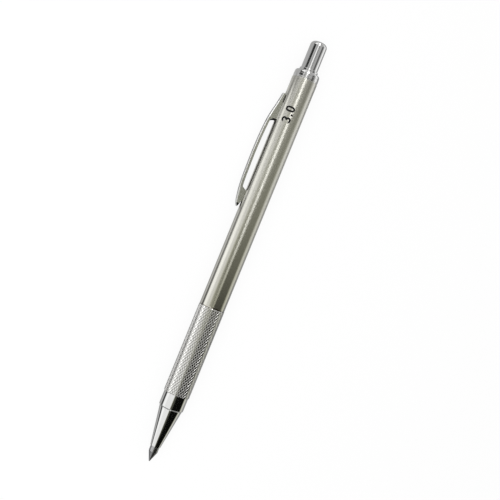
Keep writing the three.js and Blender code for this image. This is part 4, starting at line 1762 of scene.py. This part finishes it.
@dataclass
class PrintedNumber:
    """The plain lead size printed on the barrel, read from the point towards the button.

    Args:
        start: where the first digit starts, in mm from the point.
        height: height of the digits, round the barrel.
        width: width of a digit.
        stroke: width of the strokes.
        angle: angle from the clip to the middle of the digits, in degrees.
        thickness: how far the ink stands up.
        radius: radius of the barrel under it.
        columns: points across a stroke.
        bow_turns: where the upper and the lower bow of the three start and end, in degrees.
        bow_points: points on each bow.
        bow_reach: half width of the bows, over that of the nought.
        bow_shift: how far their middle lies before that of the digit.
        loop_points: points on the nought.
        loop_power: power of its curve.
        gaps: from the three to the point's middle, and to the nought.
        dot_length: length of the point, over the width of the strokes.
        dot_points: rows of points on it.
    """

    start: float = 116.6
    height: float = 3.1
    width: float = 1.9
    stroke: float = 0.6
    angle: float = 74.0
    thickness: float = 0.012
    radius: float = BARREL_RADIUS
    columns: int = 4
    bow_turns: tuple[Pair, ...] = ((160, -90), (90, -168))
    bow_points: int = 30
    bow_reach: float = 1.02
    bow_shift: float = 0.08
    loop_points: int = 64
    loop_power: float = 2.5
    gaps: Pair = (0.88, 1.7)
    dot_length: float = 1.15
    dot_points: int = 8

    def ribbon(self, path: Array, closed: bool, left: float) -> Skin:
        """Lays a stroke of ink along a flat path on the barrel.

        The stroke's edges lie half its width to each side of the path, square to it.

        Args:
            path: the stroke's middle line, as rows of (across the digit, up the digit).
            closed: whether its end joins its start.
            left: where the digit starts, in mm from the point.

        Returns:
            The closed surface.
        """
        if closed:
            ahead, behind = np.roll(path, -1, axis=0), np.roll(path, 1, axis=0)
        else:
            ahead = np.concatenate([path[1:], path[-1:]])
            behind = np.concatenate([path[:1], path[:-1]])
        way = ahead - behind
        way /= np.linalg.norm(way, axis=1, keepdims=True)
        square = np.stack([-way[:, 1], way[:, 0]], axis=-1)
        share = np.linspace(-0.5, 0.5, self.columns)[None, :, None]
        flat = path[:, None] + square[:, None] * share * self.stroke
        along = left + flat[..., 0]
        angle = math.radians(self.angle) - flat[..., 1] / self.radius
        top = AXIS.turn(along, self.radius + self.thickness, angle)
        under = AXIS.turn(along, self.radius - self.thickness, angle)
        return sheet_skin(top, under, grid_quads(len(path), self.columns, closed, False))

    def build(self) -> None:
        """Builds a three, a point and a nought.

        The three is two round bows, each half as tall as the digit. The nought is a tall rounded
        loop: its width and its height, as shares of their halves, add up to 1 when both are raised
        to the loop's power.
        """
        half_wide, half_high = (self.width - self.stroke) / 2, (self.height - self.stroke) / 2
        middle = self.width / 2
        strokes = []
        for centre, (first, last) in zip((0.5, -0.5), self.bow_turns):
            turn = np.radians(np.linspace(first, last, self.bow_points))
            across = middle - self.bow_shift + half_wide * self.bow_reach * np.cos(turn)
            up = half_high * (centre + np.sin(turn) / 2)
            strokes.append(self.ribbon(np.stack([across, up], axis=-1), False, self.start))
        end = self.start + self.width
        up = np.linspace(0, self.stroke * self.dot_length, self.dot_points) - self.height / 2
        dot = np.stack([np.zeros(self.dot_points), up], axis=-1)
        strokes.append(self.ribbon(dot, False, end + self.gaps[0]))
        turn = np.linspace(0, 2 * np.pi, self.loop_points, endpoint=False)
        ways = np.stack([np.cos(turn), np.sin(turn)], axis=-1)
        shares = np.sign(ways) * np.abs(ways) ** (2 / self.loop_power)
        loop = np.array([middle, 0.0]) + shares * np.array([half_wide, half_high])
        strokes.append(self.ribbon(loop, True, end + self.gaps[1]))
        show("printed_number", sum(strokes[1:], strokes[0]), INK, Body.BARREL, None)


# Camera, light and table


@dataclass
class Camera:
    """The camera, which looks at the pencil as the photograph does.

    Args:
        clip_angle: angle from the clip, round the axis, to the direction of the camera.
        lean: how far the pencil leans from upright in the picture, in degrees.
        distance: from the pencil to the camera, in mm.
        pixel: size of a pixel at the pencil, in mm.
        pixels: width of the picture.
        offset: place of the pencil's middle, right of and above the picture's middle, in pixels.
        clip_start: distance from which on it sees, in m.
    """

    clip_angle: float = 84.0
    lean: float = 22.25
    distance: float = 300.0
    pixel: float = 0.3212
    pixels: int = 500
    offset: Pair = (-15.4, -1.95)
    clip_start: float = 0.01

    def build(self) -> None:
        """Makes the camera and sets it."""
        turn, lean = math.radians(self.clip_angle), math.radians(self.lean)
        back = AXIS.direction(0.0, math.cos(turn), math.sin(turn))
        aside = AXIS.direction(0.0, -math.sin(turn), math.cos(turn))
        rearwards = AXIS.direction(1.0, 0.0, 0.0)
        right = rearwards * math.sin(lean) + aside * math.cos(lean)
        up = rearwards * math.cos(lean) - aside * math.sin(lean)
        front, rear = node_span("lead")[0], node_span("push_button")[1]
        middle = Vector(AXIS.place((front + rear) / 2, 0.0, 0.0))
        shift = (right * self.offset[0] + up * self.offset[1]) * self.pixel * MM
        data = bpy.data.cameras.new("camera")
        half = self.pixels / 2 * self.pixel
        data.angle = 2 * math.atan(half / self.distance)
        data.clip_start = self.clip_start
        camera = add_object("camera", data)
        place = middle - shift + back * self.distance * MM
        turned = Matrix((right, up, back)).transposed().to_4x4()
        camera.matrix_world = Matrix.Translation(place) @ turned
        bpy.context.scene.camera = camera


WHITE = (1.0, 1.0, 1.0, 1.0)
WHOLE_WAYS = (-0.25, 0.2)  # x parts of the directions that the pencil mirrors, from its rear on
REAR_WAYS = (-0.181, -0.173)  # those that it mirrors just behind the clip


@dataclass(frozen=True)
class SoftBox:
    """A long soft box or window that lies parallel to the x axis.

    Angles are measured round the x axis from straight up, and go towards +y.

    Args:
        start: where it starts, in degrees.
        end: where it ends.
        soft: width of its soft edges.
        at_lead: its brightness as the lead's end sees it.
        at_button: its brightness as the button's end sees it.
        change: x parts of the directions between which its brightness changes.
    """

    start: float
    end: float
    soft: float
    at_lead: float
    at_button: float
    change: Pair = WHOLE_WAYS

    def light(self, angle: Value, x: Value) -> Value:
        """Gives its brightness in a direction.

        Args:
            angle: the direction's angle round the x axis, in radians.
            x: the direction's x part.

        Returns:
            The brightness.
        """
        level = x.step(*self.change) * (self.at_lead - self.at_button) + self.at_button
        start, end, soft = (math.radians(part) for part in (self.start, self.end, self.soft))
        return angle.between(start, end, soft) * level


@dataclass(frozen=True)
class Zone:
    """A part of the table beside the pencil that polished metal sees darker than the rest.

    Args:
        across: where it starts and ends across the pencil, in mm from its axis.
        along: where it starts and ends along the pencil, as x in m.
        soft_across: width of its long soft edges, in mm.
        soft_along: width of its soft ends, in m.
    """

    across: Pair
    along: Pair
    soft_across: float = 0.6
    soft_along: float = 0.002

    def cover(self, away: Value, x: Value) -> Value:
        """Is 1 in the zone and 0 out of it, by the distance from the axis in mm and x in m."""
        sides = away.between(*self.across, self.soft_across)
        return sides * x.between(*self.along, self.soft_along)


@dataclass
class Studio:
    """A pale table in a white studio, with long soft boxes that only polished metal sees.

    Args:
        boxes: the soft boxes over the table.
        flags: the dark cards before them, with the share of the light that each takes away.
        flags_end: x parts of the directions at which the flags end.
        gap: brightness between them, as the lead's end sees it and as the button's end does.
        front_shade: share of it that the knurl and what is in front of it don't see.
        front_ways: x parts of the directions between which that shade begins.
        gap_colour: colour of that light between them.
        gap_levels: brightnesses between which the light turns from that colour to white.
        fill: brightness of the world for everything that isn't polished.
        lamp_size: the lamp's two sides, in m.
        lamp_power: its power, in W.
        lamp_place: its place, in m.
        strip: where the dark strip of painted shadow beside the pencil starts and ends, in mm from
            its axis.
        strip_soft: width of its soft edge by the pencil, and half that of its outer one.
        strip_light: its brightness at the lead's end, and what it adds at the button's end.
        strip_change: where that changes, as x in m.
        near_table: brightness of the table beyond the strip, in polished metal.
        far_table: brightness of the table under the pencil.
        right_table: brightness of the table behind it.
        right_start: where the table behind it starts, in mm from its axis.
        edge_table: brightness of the table farther behind it.
        edge_start: where that starts, in mm from its axis.
        edge_end: where it ends towards the lead, as x in m.
        clip_table: share of the light that the table beside the clip keeps.
        clip_zones: the table beside the clip: all of it, and its head's part.
        beside_table: the same share for the table beside the barrel, in front of the clip.
        beside_zone: the table there.
        rear_table: brightness of the table round the collar and the button.
        rear_start: where that table starts, as x in m.
        rear_shades: shares of its light that are missing far before the pencil and behind it.
        rear_shade_end: where the first of these ends, in mm from its axis.
        half_side: half of the table's side, in m.
        paint: the table's own colour.
        shadow: how much of the table's own shading the camera sees.
    """

    boxes: tuple[SoftBox, ...] = (
        SoftBox(-125, -34, 10, 0.9, 0.0, (0.02, 0.16)),
        SoftBox(-125, -84, 12, 0.0, 0.3, (0.02, 0.16)),
        SoftBox(-125, -56, 22, 0.0, 0.62, (0.02, 0.16)),
        SoftBox(-32, -16, 6, 0.06, 1.15),
        SoftBox(-32, -16, 6, 0.0, 1.9, (-0.16, -0.04)),
        SoftBox(-46, -32, 4, 0.0, 0.25, REAR_WAYS),
        SoftBox(69, 150, 14, 0.6, 0.0, (0.0, 0.16)),
        SoftBox(58, 150, 14, 0.0, 0.5, (0.0, 0.16)),
    )
    flags: tuple[SoftBox, ...] = (
        SoftBox(-135, -62, 6, 0.0, 0.6, REAR_WAYS),
        SoftBox(-95, -66, 5, 0.0, 0.95, REAR_WAYS),
        SoftBox(-62, -40, 8, 0.0, 0.35, REAR_WAYS),
        SoftBox(-32, -26, 4, 0.0, 0.75, REAR_WAYS),
        SoftBox(-26, -12, 4, 0.0, 0.88, REAR_WAYS),
        SoftBox(21, 44, 6, 0.0, 0.75, REAR_WAYS),
    )
    flags_end: Pair = (-0.36, -0.28)
    gap: Pair = (0.012, 0.42)
    front_shade: float = 0.8
    front_ways: Pair = (0.055, 0.1)
    gap_colour: Colour = (1.0, 1.0, 0.8)
    gap_levels: Pair = (0.35, 0.9)
    fill: float = 0.75
    lamp_size: Pair = (0.5, 0.35)
    lamp_power: float = 1.6
    lamp_place: Triple = (0.02, -0.28, 0.42)
    strip: Pair = (-13.0, -7.6)
    strip_soft: float = 2.6
    strip_light: Pair = (0.05, 0.16)
    strip_change: Pair = (0.0, 0.04)
    near_table: float = 1.0
    far_table: float = 0.5
    right_table: float = 0.28
    right_start: Pair = (0.0, 3.0)
    edge_table: float = 0.14
    edge_start: Pair = (10.0, 18.0)
    edge_end: Pair = (0.034, 0.044)
    clip_table: float = 0.35
    clip_zones: tuple[Zone, Zone] = (
        Zone((-7.5, -5.2), (-0.0535, -0.0135)),
        Zone((-5.2, -4.0), (-0.0545, -0.0445)),
    )
    beside_table: float = 0.62
    beside_zone: Zone = Zone((-5.6, -3.0), (-0.0135, 2.0), soft_along=0.004)
    rear_table: float = 0.43
    rear_start: Pair = (-0.064, -0.054)
    rear_shades: Pair = (0.8, 0.3)
    rear_shade_end: Pair = (-45.0, -22.0)
    half_side: float = 1.5
    paint: float = 0.88
    shadow: float = 0.12

    def world(self) -> None:
        """Makes the world: white to the camera, and the soft boxes to polished metal."""
        world = bpy.data.worlds.new("studio")
        bpy.context.scene.world = world
        maker = NodeMaker(world)
        _, x, y, z = maker.coordinates("Generated")
        angle = y.angle_to(z)
        level = x.step(*WHOLE_WAYS) * (self.gap[0] - self.gap[1]) + self.gap[1]
        level = level * (1 - x.step(*self.front_ways) * self.front_shade)
        for box in self.boxes:
            level = level + box.light(angle, x)
        for flag in self.flags:
            level = level * (1 - flag.light(angle, x) * x.step(*self.flags_end))
        path = maker.node("ShaderNodeLightPath").outputs
        plain = 1 - (1 - level.step(*self.gap_levels)) * x.step(*REAR_WAYS)
        tint = maker.mix(plain, self.gap_colour, WHITE[:3])
        boxes = maker.shine("Background", tint, level)
        soft = maker.shine("Background", WHITE, self.fill)
        inner = maker.blend(path["Is Glossy Ray"], soft, boxes)
        outer = maker.blend(path["Is Camera Ray"], inner, maker.shine("Background", WHITE))
        maker.node("ShaderNodeOutputWorld", None, {0: outer})

    def lamp(self) -> None:
        """Hangs a broad lamp over the clip's side, for the soft shadow on the table."""
        data = bpy.data.lights.new("broad lamp", "AREA")
        data.shape = "RECTANGLE"
        data.size, data.size_y = self.lamp_size
        data.energy = self.lamp_power
        lamp = add_object("broad lamp", data)
        place = Vector(self.lamp_place)
        lamp.location = place
        lamp.rotation_euler = place.to_track_quat("Z", "Y").to_euler()
        lamp.visible_glossy = False

    def table_light(self, maker: NodeMaker) -> Value:
        """Gives the table's brightness in polished metal, a painted glow that stands in for its lit
        and shaded reflection.

        It is bright on the clip's side, dark on the strip beside the pencil, which is painted
        shadow, and mid grey from there on, darker behind the pencil and darker again farther behind
        it. Round the collar and the button it is mid grey, but dark far before the pencil. Its
        zones beside the clip and beside the barrel in front of it keep a share of the light, as
        painted shade.

        Args:
            maker: the maker of the table's nodes.

        Returns:
            The brightness.
        """
        _, x, y, _ = maker.coordinates()
        away = (y - AXIS.y) / MM
        start, end = self.strip
        half = self.strip_soft / 2
        near = 1 - away.step(start - half - self.strip_soft, start + half)
        far = away.step(end - half, end + half)
        right = away.step(*self.right_start)
        edge = away.step(*self.edge_start) * (1 - x.step(*self.edge_end))
        right_level = self.right_table + edge * (self.edge_table - self.right_table)
        beyond = far * (self.far_table + right * (right_level - self.far_table))
        dark = (1 - x.step(*self.strip_change)) * self.strip_light[1] + self.strip_light[0]
        level = near * self.near_table + beyond + dark
        before, behind = self.rear_shades
        hidden = 1 - away.step(*self.rear_shade_end)
        rear_level = (1 - hidden * before - right * behind) * self.rear_table
        level = level + (1 - x.step(*self.rear_start)) * (rear_level - level)
        level = level * (1 - self.beside_zone.cover(away, x) * (1 - self.beside_table))
        whole, head = (zone.cover(away, x) for zone in self.clip_zones)
        return level * (1 - (whole + head) * (1 - self.clip_table))

    def table(self) -> None:
        """Lays a pale table top, which a faint glow lifts to white where the camera sees it."""
        side = self.half_side * np.array([-1.0, 1.0])
        x, y = np.meshgrid(side, side, indexing="ij")
        points = np.stack([x.ravel(), y.ravel(), np.zeros(4)], axis=-1)
        table = make_object("table_top", Skin(points, [np.array([[0, 2, 3, 1]])]))
        material = bpy.data.materials.new("pale table")
        maker = NodeMaker(material)
        colour = (self.paint, self.paint, self.paint, 1.0)
        paint = maker.node("ShaderNodeBsdfDiffuse", None, {"Color": colour}).outputs[0]
        # in polished metal the table is a glow, not lit paint: a painted reflection with painted
        # shade
        painted_mirror_glow = maker.shine("Emission", WHITE, self.table_light(maker))
        path = maker.node("ShaderNodeLightPath").outputs
        seen = Value(maker, path["Is Camera Ray"]) * (1 - self.shadow)
        top = maker.blend(seen, paint, maker.shine("Emission", WHITE))
        mixed = maker.blend(path["Is Glossy Ray"], top, painted_mirror_glow)
        maker.node("ShaderNodeOutputMaterial", None, {0: mixed})
        table.data.materials.append(material)

    def build(self) -> None:
        """Makes the world, the lamp and the table."""
        self.world()
        self.lamp()
        self.table()
        bpy.context.scene.view_settings.view_transform = "Standard"


def main() -> None:
    """Builds the camera, the studio and every piece of the pencil."""
    logging.basicConfig(level=logging.INFO, format="%(name)s: %(message)s")
    steps: list[tuple[str, Callable[[], None]]] = [
        ("camera", Camera().build),
        ("studio", Studio().build),
        ("lead", Lead().build),
        ("nose", Nose().build),
        ("grip", Grip().build),
        ("chuck", Chuck().build),
        ("barrel", Barrel().build),
        ("rear end", RearEnd().build),
        ("clip", Clip().build),
        ("printed number", PrintedNumber().build),
    ]
    for name, build in steps:
        LOG.info("building the %s", name)
        build()


if __name__ == "__main__":
    main()
